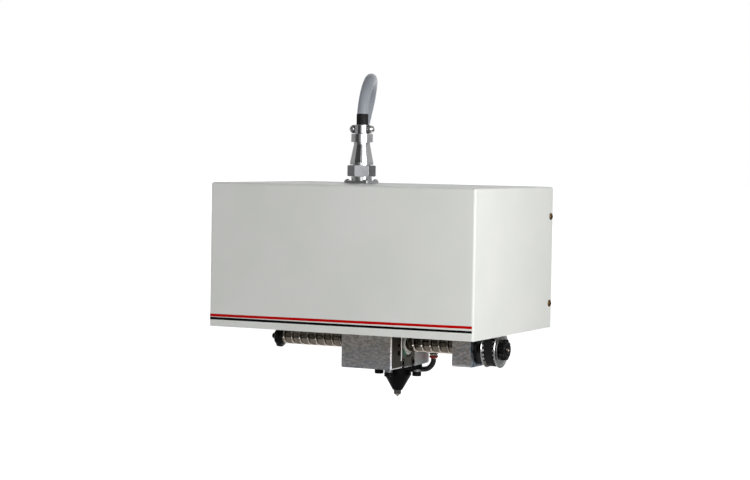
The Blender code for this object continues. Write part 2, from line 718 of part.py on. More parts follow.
def pulley(name, teeth, axis_z, on, bore, look):
    """A toothed pulley along X with a flange at each side."""
    toothed_length = PULLEY_LENGTH - 2 * FLANGE_THICKNESS
    middle = ((PULLEY_X0 + PULLEY_X1) / 2, SCREW_Y, axis_z)
    body = piece(name, extruded(pulley_outline(teeth), toothed_length), on, middle, look, TO_X)
    rim = tip_radius(teeth) + FLANGE_STEP
    overlap = FLANGE_THICKNESS / 3
    for side, sign in (("inner", -1), ("outer", 1)):
        shift = sign * (toothed_length / 2 + (FLANGE_THICKNESS - overlap) / 2)
        disc = rod(rim, FLANGE_THICKNESS + overlap, FINE, FLANGE_THICKNESS / 4)
        join(body, tool(f"{name}_{side}_flange", disc, on, (middle[0] + shift, SCREW_Y, axis_z), TO_X))
    ends = ((PULLEY_X0 - OVERRUN, SCREW_Y, axis_z), (PULLEY_X1 + OVERRUN, SCREW_Y, axis_z))
    cut(body, hole(f"{name}_bore", bore / 2 + GAP, *ends, on, SMALL, "X"))
    return body


def make_cover(root):
    """Front, sides and top folded from one sheet, open at the back and below."""
    mesh = bmesh.new()
    size = (COVER_WIDTH, COVER_DEPTH, COVER_HEIGHT, 1.0)
    bmesh.ops.create_cube(mesh, size=1.0, matrix=Matrix.Diagonal(size))
    half_depth, half_height = COVER_DEPTH / 2, COVER_HEIGHT / 2
    open_faces = [f for f in mesh.faces if f.normal.y > 0.5 or f.normal.z < -0.5]
    bmesh.ops.delete(mesh, geom=open_faces, context="FACES")
    bends = [e for e in mesh.edges if len(e.link_faces) == 2]
    bmesh.ops.bevel(mesh, geom=bends, offset=BEND_RADIUS, segments=3, affect="EDGES", profile=0.5)
    middle = (0, FRONT_Y + half_depth, BOTTOM_Z + half_height)
    cover = piece("cover", mesh, root, middle, WHITE_ENAMEL)
    wall = cover.modifiers.new("sheet", "SOLIDIFY")
    wall.thickness = SHEET
    wall.offset = -1
    wall.use_even_offset = True
    low = (CONNECTOR_X, CONNECTOR_Y, TOP_Z - SHEET - OVERRUN)
    high = (CONNECTOR_X, CONNECTOR_Y, TOP_Z + OVERRUN)
    cut(cover, hole("cover_connector_hole", SOCKET_BARREL / 2 + GAP, low, high, root, ROUND))
    y = PLATE_Y + PLATE_THICKNESS / 2
    for height in (COVER_SCREW_LOW, COVER_SCREW_HIGH):
        ends = [(sign * (SIDE_X + OVERRUN), y, BOTTOM_Z + height) for sign in (-1, 1)]
        cut(cover, hole(f"cover_screw_hole_{height}", COVER_SCREW_HOLE / 2, *ends, root, SMALL, "X"))
    return cover


def make_back_plate(root):
    """The plate that holds everything, with its raised mounting pad and tapped edges."""
    low = (-INNER_X, PLATE_Y, BOTTOM_Z + PLATE_LIFT)
    high = (INNER_X, BACK_Y, TOP_Z - SHEET - GAP)
    plate = span("back_plate", low, high, root, CLEAR_ALUMINIUM, PLATE_CHAMFER)
    sink = PLATE_THICKNESS / 2
    pad_low = (-PAD_WIDTH / 2, BACK_Y - sink, -PAD_HEIGHT / 2)
    join(plate, span("mounting_pad", pad_low, (PAD_WIDTH / 2, 0, PAD_HEIGHT / 2), root, chamfer=PAD_CHAMFER,
                     cutter=True))
    for sx in (-1, 1):
        for sz in (-1, 1):
            x, z = sx * PAD_HOLE_SPACING_X / 2, sz * PAD_HOLE_SPACING_Z / 2
            ends = ((x, -PAD_HOLE_DEPTH, z), (x, OVERRUN, z))
            cut(plate, hole(f"pad_hole_{sx}_{sz}", PAD_HOLE_DIAMETER / 2, *ends, root, SMALL, "Y"))
        for height in (COVER_SCREW_LOW, COVER_SCREW_HIGH):
            y, z = PLATE_Y + PLATE_THICKNESS / 2, BOTTOM_Z + height
            ends = ((sx * (INNER_X - COVER_SCREW_TAP_DEPTH), y, z), (sx * (INNER_X + OVERRUN), y, z))
            cut(plate, hole(f"edge_tap_{sx}_{height}", COVER_SCREW_TAP / 2, *ends, root, SMALL, "X"))
    return plate


def make_frame(root):
    """The plate that the Y rails hang from, slotted for the Y motor, with a gusset at each side."""
    half = FRAME_HALF_WIDTH
    low = (-half, FRAME_Y0, FRAME_Z0)
    frame = span("frame_plate", low, (half, PLATE_Y - GAP, FRAME_Z1), root, CLEAR_ALUMINIUM, FRAME_CHAMFER)
    slot = MOTOR_FACE / 2 + BRACKET_FOOT
    cut(frame, span("motor_slot", (-slot, Y_BRACKET_Y0 - OVERRUN, FRAME_Z0 - OVERRUN),
                    (slot, PLATE_Y + OVERRUN, FRAME_Z1 + OVERRUN), root, cutter=True))
    outline = [(0, 0), (0, -GUSSET_LENGTH), (GUSSET_NOSE, -GUSSET_LENGTH), (GUSSET_HEIGHT, -GUSSET_NOSE),
               (GUSSET_HEIGHT, 0)]
    for name, sign in (("gusset_left", -1), ("gusset_right", 1)):
        corner = (sign * (half - GUSSET_INSET - GUSSET_THICKNESS / 2), PLATE_Y - GAP, FRAME_Z0 - GAP)
        piece(name, extruded(outline, GUSSET_THICKNESS), root, corner, CLEAR_ALUMINIUM, TO_X)
    return frame


def rail_outline(height):
    """A profiled guide rail's section, with a groove along each flank, its foot at zero."""
    half = RAIL_WIDTH / 2
    waist = half - RAIL_FLANK
    low, deep, shallow, high = [height * share for share in RAIL_GROOVE_SHARES]
    edge = height * RAIL_CORNER_SHARE
    right = [(half, 0), (half, low), (waist, deep), (waist, shallow), (half, high), (half, height - edge),
             (half - edge, height)]
    return right + [(-u, v) for u, v in reversed(right)]


def slider_outline(width, height, guide_height, rail_height):
    """A guide block's section: its seat at zero, open above where the rail runs."""
    half = width / 2
    inside = RAIL_WIDTH / 2 + GAP
    floor = guide_height - rail_height - GAP
    edge = SLIDER_CHAMFER
    return [(-half + edge, 0), (half - edge, 0), (half, edge), (half, height - edge), (half - edge, height),
            (inside, height), (inside, floor), (-inside, floor), (-inside, height), (-half + edge, height),
            (-half, height - edge), (-half, edge)]


def profile_along(name, outline, along_axis, low, high, y_or_x, z, on, look, flip=False):
    """A section drawn out along X or Y, its own height upwards, or downwards when flipped."""
    length = high - low
    middle = (low + high) / 2
    sign = -1 if flip else 1
    mesh = bmesh.new()
    if along_axis == "X":
        ends = [[(side * length / 2, u, sign * v) for u, v in outline] for side in (-1, 1)]
        place = (middle, y_or_x, z)
    else:
        ends = [[(u, side * length / 2, sign * v) for u, v in outline] for side in (-1, 1)]
        place = (y_or_x, middle, z)
    rings = [[mesh.verts.new(point) for point in ring] for ring in ends]
    for index in range(len(outline)):
        after = (index + 1) % len(outline)
        mesh.faces.new((rings[0][index], rings[0][after], rings[1][after], rings[1][index]))
    mesh.faces.new(rings[0])
    mesh.faces.new(rings[1])
    return piece(name, mesh, on, place, look)


def make_y_axis(root, y_drive, saddle):
    """Rails, motor, coupling and screw on the frame, with the sliders and nut on the saddle."""
    rail_y0 = FRONT_Y + Y_RAIL_FRONT_INSET
    for side, sign in (("left", -1), ("right", 1)):
        x = sign * RAIL_X
        profile_along(f"y_rail_{side}", rail_outline(Y_RAIL_HEIGHT), "Y", rail_y0, rail_y0 + Y_RAIL_LENGTH, x,
                      FRAME_Z0 - GAP, root, GROUND_STEEL, flip=True)
        outline = slider_outline(Y_SLIDER_WIDTH, Y_SLIDER_HEIGHT, Y_GUIDE_HEIGHT, Y_RAIL_HEIGHT + GAP)
        middle = (SADDLE_Y0 + SADDLE_Y1) / 2
        profile_along(f"y_slider_{side}", outline, "Y", middle - Y_SLIDER_LENGTH / 2,
                      middle + Y_SLIDER_LENGTH / 2, x, SADDLE_Z1 + GAP, saddle, GROUND_STEEL)

    motor(root, "y_motor", (0, Y_MOTOR_Y0, Y_SCREW_Z), Y_MOTOR_LENGTH, TO_Y)
    wall_half = MOTOR_FACE / 2 + BRACKET_FOOT - GAP
    wall_low = (-wall_half, Y_BRACKET_Y0, Y_SCREW_Z - MOTOR_FACE / 2)
    wall_z1 = FRAME_Z1 + GAP + Y_BRACKET_THICKNESS / 2
    bracket = span("y_motor_bracket", wall_low, (wall_half, Y_BRACKET_Y1, wall_z1), root, BRUSHED_ALUMINIUM,
                   BRACKET_CHAMFER)
    foot_low = (-wall_half - Y_BRACKET_WING, Y_BRACKET_Y1 - Y_BRACKET_FOOT_LENGTH, FRAME_Z1 + GAP)
    foot_high = (wall_half + Y_BRACKET_WING, Y_BRACKET_Y1 - Y_BRACKET_THICKNESS / 4,
                 FRAME_Z1 + GAP + Y_BRACKET_THICKNESS)
    join(bracket, span("y_bracket_foot", foot_low, foot_high, root, cutter=True))
    ends = ((0, Y_BRACKET_Y0 - OVERRUN, Y_SCREW_Z), (0, Y_BRACKET_Y1 + OVERRUN, Y_SCREW_Z))
    cut(bracket, hole("y_pilot_hole", MOTOR_PILOT / 2 + GAP, *ends, root, ROUND, "Y"))

    coupling = piece("y_coupling", rod(COUPLING_DIAMETER / 2, COUPLING_LENGTH, ROUND, COUPLING_CHAMFER),
                     y_drive, (0, COUPLING_MIDDLE, Y_SCREW_Z), CLEAR_ALUMINIUM, TO_Y)
    ends = ((0, COUPLING_Y0 - OVERRUN, Y_SCREW_Z), (0, COUPLING_MIDDLE, Y_SCREW_Z))
    cut(coupling, hole("coupling_bore", Y_JOURNAL / 2 + GAP, *ends, y_drive, ROUND, "Y"))
    for index in range(3):
        y = COUPLING_MIDDLE + (index - 1) * COUPLING_LENGTH * COUPLING_SLIT_STEP_SHARE
        sign = 1 if index % 2 else -1
        z0, z1 = sorted((Y_SCREW_Z + sign * COUPLING_DIAMETER * COUPLING_SLIT_REACH_SHARE,
                         Y_SCREW_Z + sign * COUPLING_DIAMETER))
        low = (-COUPLING_DIAMETER, y - COUPLING_SLIT / 2, z0)
        high = (COUPLING_DIAMETER, y + COUPLING_SLIT / 2, z1)
        cut(coupling, span(f"coupling_slit_{index}", low, high, y_drive, cutter=True))
    shaft_ends = (COUPLING_Y1 - COUPLING_LENGTH / 4, Y_MOTOR_Y0 + MOTOR_SHAFT_DEPTH - GAP)
    shaft = rod(MOTOR_SHAFT / 2, shaft_ends[1] - shaft_ends[0], SMALL)
    join(coupling, tool("y_motor_shaft", shaft, y_drive, (0, sum(shaft_ends) / 2, Y_SCREW_Z), TO_Y))

    screw_y0 = Y_BEARING_Y0 + Y_SCREW_END
    thread_y0 = Y_BEARING_Y1 + THREAD_TO_BEARING
    thread_y1 = COUPLING_Y0 - THREAD_TO_COUPLING
    screw = threaded("y_screw", y_drive, (0, (thread_y0 + thread_y1) / 2, Y_SCREW_Z), thread_y1 - thread_y0,
                     Y_SCREW_DIAMETER / 2, Y_SCREW_LEAD, Y_GROOVE_WIDTH, Y_GROOVE_DEPTH, Y_THREAD_STEPS, TO_Y)
    journal_y1 = COUPLING_MIDDLE - GAP
    journal = rod(Y_JOURNAL / 2, journal_y1 - screw_y0, ROUND)
    join(screw, tool("y_journal", journal, y_drive, (0, (screw_y0 + journal_y1) / 2, Y_SCREW_Z), TO_Y))

    low = (-Y_BEARING_HALF_WIDTH, Y_BEARING_Y0, Y_SCREW_Z - Y_BEARING_HALF_WIDTH * Y_BEARING_DROP_SHARE)
    block = span("y_bearing_block", low, (Y_BEARING_HALF_WIDTH, Y_BEARING_Y1, FRAME_Z0 - GAP), root,
                 CLEAR_ALUMINIUM, PAD_CHAMFER)
    ends = ((0, Y_BEARING_Y0 - OVERRUN, Y_SCREW_Z), (0, Y_BEARING_Y1 + OVERRUN, Y_SCREW_Z))
    cut(block, hole("y_bearing_bore", Y_JOURNAL / 2 + GAP, *ends, root, ROUND, "Y"))

    low = (-Y_NUT_HALF_WIDTH, Y_NUT_Y0, SADDLE_Z1 + GAP)
    high = (Y_NUT_HALF_WIDTH, Y_NUT_Y1, Y_SCREW_Z + Y_NUT_DIAMETER / 2 + FLANGE_THICKNESS)
    nut_block = span("y_nut_bracket", low, high, saddle, CLEAR_ALUMINIUM, PAD_CHAMFER, edges=along(1))
    ends = ((0, Y_NUT_Y0 - OVERRUN, Y_SCREW_Z), (0, Y_NUT_Y1 + OVERRUN, Y_SCREW_Z))
    cut(nut_block, hole("y_nut_seat", Y_NUT_DIAMETER / 2 + GAP, *ends, saddle, ROUND, "Y"))
    inner, outer = Y_SCREW_DIAMETER / 2 + NUT_BORE_GAP, Y_NUT_DIAMETER / 2
    rim = min(Y_NUT_FLANGE / 2, Y_SCREW_Z - SADDLE_Z1 - GAP)
    z0, z1, z2 = -Y_NUT_FLANGE_LENGTH - GAP, -GAP, Y_NUT_THICKNESS
    nut = turned([(inner, z0), (rim, z0), (rim, z1), (outer, z1), (outer, z2), (inner, z2)], ROUND)
    piece("y_nut", nut, saddle, (0, Y_NUT_Y0, Y_SCREW_Z), GROUND_STEEL, TO_Y)


def motor(on, name, face, length, turn):
    """A square stepper motor whose mounting face is at the point given, its body behind it."""
    half, corner = MOTOR_FACE / 2, MOTOR_CORNER
    outline = rounded_rectangle(MOTOR_FACE, MOTOR_FACE, corner, 1)
    sign = 1 if turn == TO_Y else -1
    step = Vector((0, 1, 0)) if turn == TO_Y else Vector((1, 0, 0))
    middle = Vector(face) + step * sign * length / 2
    body = piece(name, extruded(outline, length), on, middle, BLACK_OXIDE, turn)
    waist_length = length - 2 * MOTOR_CAP
    for side in (-1, 1):
        for axis in (0, 1):
            size = [MOTOR_FACE * 2, MOTOR_FACE * 2, waist_length]
            size[axis] = MOTOR_WAIST * 2
            shift = [0.0, 0.0, 0.0]
            shift[axis] = side * half
            groove = tool(f"{name}_waist_{axis}_{side}", box(size), on, middle, turn)
            groove.data.transform(Matrix.Translation(shift))
            cut(body, groove)
    low = Vector(face) - step * sign * OVERRUN
    high = Vector(face) + step * sign * MOTOR_SHAFT_DEPTH
    axis = "Y" if turn == TO_Y else "X"
    cut(body, hole(f"{name}_shaft_bore", MOTOR_SHAFT / 2 + GAP, low, high, on, SMALL, axis))
    return body


def threaded(name, on, middle, length, radius, lead, groove_width, groove_depth, steps, turn):
    """The grooved stretch of a ball screw, trimmed square at both ends."""
    screw = piece(name, thread(length, radius, lead, groove_width, groove_depth, steps), on, middle,
                  GROUND_STEEL, turn)
    trim = tool(f"{name}_trim", rod(radius * 2, length, SMALL), on, middle, turn)
    combine(screw, trim, "INTERSECT")
    return screw


def make_saddle(saddle):
    """Saddle plate, hangers and beam."""
    half = RAIL_X + Y_SLIDER_WIDTH / 2
    span("saddle_plate", (-half, SADDLE_Y0, SADDLE_Z0), (half, SADDLE_Y1, SADDLE_Z1), saddle, CLEAR_ALUMINIUM,
         FRAME_CHAMFER)
    y0, y1 = SCREW_Y - HANGER_FRONT, SCREW_Y + HANGER_BACK
    z0, z1 = BEAM_Z1 + GAP, SADDLE_Z0 - GAP
    for side, sign in (("left", -1), ("right", 1)):
        x = sign * RAIL_X
        low = (x - HANGER_THICKNESS / 2, y0, z0)
        hanger = span(f"hanger_{side}", low, (x + HANGER_THICKNESS / 2, y1, z1), saddle, CLEAR_ALUMINIUM,
                      FRAME_CHAMFER)
        window = ((y1 - y0) * HANGER_WINDOW_SHARE, (z1 - z0) * HANGER_WINDOW_SHARE)
        mesh = extruded(rounded_rectangle(window[1], window[0], HANGER_THICKNESS / 2), HANGER_THICKNESS * 2)
        cut(hanger, tool(f"hanger_window_{side}", mesh, saddle, (x, (y0 + y1) / 2, (z0 + z1) / 2), TO_X))
    low = (BEAM_X0, SCREW_Y - BEAM_HALF_DEPTH, BEAM_Z0)
    span("x_beam", low, (BLOCK_X1, SCREW_Y + BEAM_HALF_DEPTH, BEAM_Z1), saddle, CLEAR_ALUMINIUM, BEAM_CHAMFER)


def make_x_axis(saddle, x_screw, x_shaft, carriage):
    """Rails, bearing block, screw and belt drive of the X axis."""
    for side, sign in (("front", -1), ("back", 1)):
        y = SCREW_Y + sign * X_GUIDE_SPACING / 2
        profile_along(f"x_rail_{side}", rail_outline(X_RAIL_HEIGHT), "X", BEAM_X0 + STUB_LENGTH,
                      BLOCK_X0 - STUB_LENGTH, y, BEAM_Z0 - GAP, saddle, GROUND_STEEL, flip=True)
        outline = slider_outline(X_SLIDER_WIDTH, X_SLIDER_HEIGHT, X_GUIDE_HEIGHT - GAP, X_RAIL_HEIGHT + GAP)
        profile_along(f"x_slider_{side}", outline, "X", CARRIAGE_X - X_SLIDER_LENGTH / 2,
                      CARRIAGE_X + X_SLIDER_LENGTH / 2, y, CARRIAGE_PLATE_Z1 + GAP, carriage, GROUND_STEEL)

    low = (BLOCK_X0, SCREW_Y - BLOCK_HALF_DEPTH, SCREW_Z - BLOCK_DROP)
    high = (BLOCK_X1, SCREW_Y + BLOCK_HALF_DEPTH, BEAM_Z0 - GAP)
    def lower(edge):
        return along(0)(edge) and max(v.co.z for v in edge.verts) < 0
    block = span("x_bearing_block", low, high, saddle, BRUSHED_ALUMINIUM, BLOCK_CHAMFER, 3, lower)
    ends = ((BLOCK_X0 - OVERRUN, SCREW_Y, SCREW_Z), (BLOCK_X1 + OVERRUN, SCREW_Y, SCREW_Z))
    cut(block, hole("x_bearing_bore", BEARING_DIAMETER / 2 + GAP, *ends, saddle, FINE, "X"))
    inner, outer, half = SCREW_JOURNAL / 2 + GAP, BEARING_DIAMETER / 2, BEARING_LENGTH / 2
    ring = turned([(inner, -half), (outer, -half), (outer, half), (inner, half)], ROUND)
    piece("x_bearing", ring, saddle, ((BLOCK_X0 + BLOCK_X1) / 2, SCREW_Y, SCREW_Z), GROUND_STEEL, TO_X)
    outer, edge = SEAL_DIAMETER / 2, SEAL_THICKNESS / 4
    seal = turned([(inner, 0), (outer, 0), (outer, SEAL_THICKNESS - edge), (outer - edge, SEAL_THICKNESS),
                   (inner, SEAL_THICKNESS)], FINE)
    piece("bearing_seal", seal, saddle, (SEAL_X0, SCREW_Y, SCREW_Z), BLACK_OXIDE, TO_X)

    thread_x1 = BLOCK_X0 - GAP
    thread_x0 = STOP_X1 + GAP
    middle = ((thread_x0 + thread_x1) / 2, SCREW_Y, SCREW_Z)
    screw = threaded("x_screw", x_screw, middle, thread_x1 - thread_x0, SCREW_DIAMETER / 2, SCREW_LEAD,
                     SCREW_GROOVE_WIDTH, SCREW_GROOVE_DEPTH, THREAD_STEPS, TO_X)
    wide, narrow, stub = SCREW_JOURNAL / 2, SCREW_NOSE_JOURNAL / 2, SCREW_STUB / 2
    tail = turned([(0, STUB_X), (stub - STUB_CHAMFER, STUB_X), (stub, STUB_X + STUB_CHAMFER),
                   (stub, STOP_X0 - GAP), (narrow, STOP_X0 - GAP), (narrow, thread_x0 + OVERRUN),
                   (0, thread_x0 + OVERRUN)], ROUND)
    nose = turned([(0, thread_x1 - OVERRUN), (wide, thread_x1 - OVERRUN), (wide, SEAL_X1 + GAP),
                   (narrow, SEAL_X1 + GAP), (narrow, LOCK_NUT_X1), (stub, NOSE_X - STUB_CHAMFER),
                   (stub - STUB_CHAMFER, NOSE_X), (0, NOSE_X)], ROUND)
    join(screw, tool("x_screw_tail", tail, x_screw, (0, SCREW_Y, SCREW_Z), TO_X))
    join(screw, tool("x_screw_nose", nose, x_screw, (0, SCREW_Y, SCREW_Z), TO_X))

    inner, outer, edge = narrow + GAP, STOP_RING_DIAMETER / 2, STOP_RING_CHAMFER
    ring = turned([(inner, 0), (outer - edge, 0), (outer, edge), (outer, STOP_RING_LENGTH - edge),
                   (outer - edge, STOP_RING_LENGTH), (inner, STOP_RING_LENGTH)], ROUND)
    piece("stop_ring", ring, x_screw, (STOP_X0, SCREW_Y, SCREW_Z), BLACK_OXIDE, TO_X)

    pulley("screw_pulley", SCREW_PULLEY_TEETH, SCREW_Z, x_screw, SCREW_NOSE_JOURNAL, CLEAR_ALUMINIUM)
    outer, edge = LOCK_NUT_DIAMETER / 2, STOP_RING_CHAMFER
    nut = turned([(inner, 0), (outer - edge, 0), (outer, edge), (outer, LOCK_NUT_LENGTH - edge),
                  (outer - edge, LOCK_NUT_LENGTH), (inner, LOCK_NUT_LENGTH)], ROUND)
    lock_nut = piece("lock_nut", nut, x_screw, (LOCK_NUT_X0, SCREW_Y, SCREW_Z), BLACK_OXIDE, TO_X)
    for slot in range(LOCK_NUT_SLOTS):
        angle = 2 * math.pi * slot / LOCK_NUT_SLOTS
        size = (LOCK_NUT_SLOT_WIDTH, LOCK_NUT_SLOT_DEPTH * 2, LOCK_NUT_LENGTH * 2)
        cutter = box(size)
        cutter.transform(Matrix.Rotation(angle, 4, "Z") @ Matrix.Translation((0, outer, LOCK_NUT_LENGTH / 2)))
        cut(lock_nut, tool(f"lock_nut_slot_{slot}", cutter, x_screw, (LOCK_NUT_X0, SCREW_Y, SCREW_Z), TO_X))

    motor(saddle, "x_motor", (BLOCK_X1, SCREW_Y, MOTOR_Z), X_MOTOR_LENGTH, TO_X)
    half = BLOCK_HALF_DEPTH
    wall_x0 = BLOCK_X1 + GAP
    wall_z0 = BEAM_Z1 + GAP
    low = (wall_x0, SCREW_Y - half, wall_z0)
    high = (wall_x0 + BRACKET_THICKNESS, SCREW_Y + half, MOTOR_Z + half)
    bracket = span("x_motor_bracket", low, high, saddle, BRUSHED_ALUMINIUM, BRACKET_CHAMFER)
    foot_high = (wall_x0 + BRACKET_THICKNESS / 2, SCREW_Y + half - BRACKET_CHAMFER, wall_z0 + BRACKET_FOOT)
    foot_low = (MOTOR_X0, SCREW_Y - half + BRACKET_CHAMFER, wall_z0)
    join(bracket, span("x_bracket_foot", foot_low, foot_high, saddle, cutter=True))
    ends = ((wall_x0 - OVERRUN, SCREW_Y, MOTOR_Z), (wall_x0 + BRACKET_THICKNESS + OVERRUN, SCREW_Y, MOTOR_Z))
    cut(bracket, hole("x_pilot_hole", MOTOR_PILOT / 2 + GAP, *ends, saddle, ROUND, "X"))
    pulley("motor_pulley", MOTOR_PULLEY_TEETH, MOTOR_Z, x_shaft, MOTOR_SHAFT, CLEAR_ALUMINIUM)
    shaft_x0, shaft_x1 = BLOCK_X1 - MOTOR_SHAFT_DEPTH + GAP, PULLEY_X1
    piece("x_motor_shaft", rod(MOTOR_SHAFT / 2, shaft_x1 - shaft_x0, SMALL), x_shaft,
          ((shaft_x0 + shaft_x1) / 2, SCREW_Y, MOTOR_Z), GROUND_STEEL, TO_X)
    make_belt(saddle)


def make_belt(saddle):
    """The toothed belt, its teeth modelled on the two straight runs, clear of both pulleys."""
    big = tip_radius(SCREW_PULLEY_TEETH) + GAP
    small = tip_radius(MOTOR_PULLEY_TEETH) + GAP
    lean = math.asin((big - small) / BELT_CENTRES)

    def loop(extra):
        lower = arc((0, 0), big + extra, -math.pi - lean, lean, BELT_ARC_STEPS)
        upper = arc((0, BELT_CENTRES), small + extra, lean, math.pi - lean, BELT_ARC_STEPS)
        return lower, upper

    lower, upper = loop(BELT_BACKING)
    outer = lower + upper
    inner_lower, inner_upper = loop(0.0)

    def teeth(start, end):
        """Teeth along a straight run, drawn to its left side."""
        run = Vector(end) - Vector(start)
        forward = run.normalized()
        inward = Vector((-forward.y, forward.x))
        margin = big * BELT_PLAIN_SHARE
        count = int((run.length - 2 * margin) / TOOTH_PITCH)
        first = (run.length - (count - 1) * TOOTH_PITCH) / 2
        points = []
        for tooth in range(count):
            middle = Vector(start) + forward * (first + tooth * TOOTH_PITCH)
            for shift, rise in ((-BELT_TOOTH_ROOT / 2, 0), (-BELT_TOOTH_TIP / 2, BELT_TOOTH_HEIGHT),
                                (BELT_TOOTH_TIP / 2, BELT_TOOTH_HEIGHT), (BELT_TOOTH_ROOT / 2, 0)):
                points.append(tuple(middle + forward * shift + inward * rise))
        return points

    inner = inner_lower + teeth(inner_lower[-1], inner_upper[0])
    inner += inner_upper + teeth(inner_upper[-1], inner_lower[0])
    x = (PULLEY_X0 + PULLEY_X1) / 2
    mesh = bmesh.new()
    sides = []
    for end in (-BELT_WIDTH / 2, BELT_WIDTH / 2):
        rings = []
        for ring in (outer, inner):
            verts = [mesh.verts.new((end, u, v)) for u, v in ring]
            edges = [mesh.edges.new(pair) for pair in zip(verts, verts[1:] + verts[:1])]
            rings.append((verts, edges))
        bmesh.ops.triangle_fill(mesh, edges=rings[0][1] + rings[1][1], use_beauty=True)
        sides.append(rings)
    for ring in range(2):
        near, far = sides[0][ring][0], sides[1][ring][0]
        for index in range(len(near)):
            after = (index + 1) % len(near)
            mesh.faces.new((near[index], near[after], far[after], far[index]))
    piece("drive_belt", mesh, saddle, (x, SCREW_Y, SCREW_Z), BLACK_RUBBER)


def make_carriage(carriage):
    """The three blocks under one plate, with the ball nut and its wiper."""
    def upright_or_low_side(edge):
        return along(2)(edge) or (along(1)(edge) and max(v.co.z for v in edge.verts) < 0)
    low, high = (CARRIAGE_X0, FRONT_BLOCK_Y0, CARRIAGE_Z0), (CARRIAGE_X1, FRONT_BLOCK_Y1, CARRIAGE_Z1)
    front = span("front_block", low, high, carriage, BRUSHED_ALUMINIUM, CARRIAGE_CHAMFER, 1,
                 upright_or_low_side)
    y = FRONT_BLOCK_Y1 - FRONT_HOLE_INSET
    for index, (drop, width) in enumerate(((0, FRONT_HOLE_DIAMETER), (FRONT_HOLE_DROP, FRONT_HOLE_LARGE))):
        z = SCREW_Z - drop
        ends = ((CARRIAGE_X1 - FRONT_HOLE_DEPTH, y, z), (CARRIAGE_X1 + OVERRUN, y, z))
        cut(front, hole(f"front_hole_{index}", width / 2, *ends, carriage, SMALL, "X"))

    nut_radius = SCREW_DIAMETER / 2 + NUT_BODY_WALL
    low, high = (CARRIAGE_X0, NUT_BLOCK_Y0, CARRIAGE_Z0), (CARRIAGE_X1, NUT_BLOCK_Y1, CARRIAGE_Z1)
    block = span("nut_block", low, high, carriage, BRUSHED_ALUMINIUM, PLATE_CHAMFER)
    ends = ((CARRIAGE_X0 - OVERRUN, SCREW_Y, SCREW_Z), (CARRIAGE_X1 + OVERRUN, SCREW_Y, SCREW_Z))
    cut(block, hole("nut_seat", nut_radius + NUT_BODY_GAP, *ends, carriage, FINE, "X"))
    for sign in (-1, 1):
        y, z = SCREW_Y + sign * CLAMP_SCREW_SPREAD, SCREW_Z - CLAMP_SCREW_DROP
        ends = ((CARRIAGE_X1 - CLAMP_SCREW_DEPTH, y, z), (CARRIAGE_X1 + OVERRUN, y, z))
        cut(block, hole(f"clamp_bore_{sign}", CLAMP_SCREW_BORE / 2, *ends, carriage, SMALL, "X"))

    inner = SCREW_DIAMETER / 2 + NUT_BORE_GAP
    wiper = inner + WIPER_WALL
    rim = NUT_FLANGE_DIAMETER / 2
    x0 = CARRIAGE_X0 - GAP - NUT_FLANGE_LENGTH
    x1 = CARRIAGE_X1 - NUT_END_STEP
    seat = x1 - WIPER_LENGTH
    nut = turned([(inner, x0), (rim, x0), (rim, x0 + NUT_FLANGE_LENGTH), (nut_radius, x0 + NUT_FLANGE_LENGTH),
                  (nut_radius, x1), (wiper + GAP, x1), (wiper + GAP, seat), (inner, seat)], FINE)
    ball_nut = piece("ball_nut", nut, carriage, (0, SCREW_Y, SCREW_Z), GROUND_STEEL, TO_X)
    for sign in (-1, 1):
        edges = sorted((SCREW_Y + sign * NUT_FLANGE_FLAT / 2, SCREW_Y + sign * NUT_FLANGE_DIAMETER))
        low = (x0 - OVERRUN, edges[0], SCREW_Z - NUT_FLANGE_DIAMETER)
        high = (x0 + NUT_FLANGE_LENGTH + GAP / 2, edges[1], SCREW_Z + NUT_FLANGE_DIAMETER)
        cut(ball_nut, span(f"nut_flat_{sign}", low, high, carriage, cutter=True))
    ring = turned([(inner, seat + GAP), (wiper, seat + GAP), (wiper, CARRIAGE_X1 + GAP),
                   (inner, CARRIAGE_X1 + GAP)], ROUND)
    piece("wiper_ring", ring, carriage, (0, SCREW_Y, SCREW_Z), WHITE_PLASTIC, TO_X)

    low = (CARRIAGE_X0, FRONT_BLOCK_Y0, CARRIAGE_PLATE_Z0)
    span("carriage_plate", low, (CARRIAGE_X1, STYLUS_BLOCK_Y1, CARRIAGE_PLATE_Z1), carriage, CLEAR_ALUMINIUM,
         FRAME_CHAMFER)


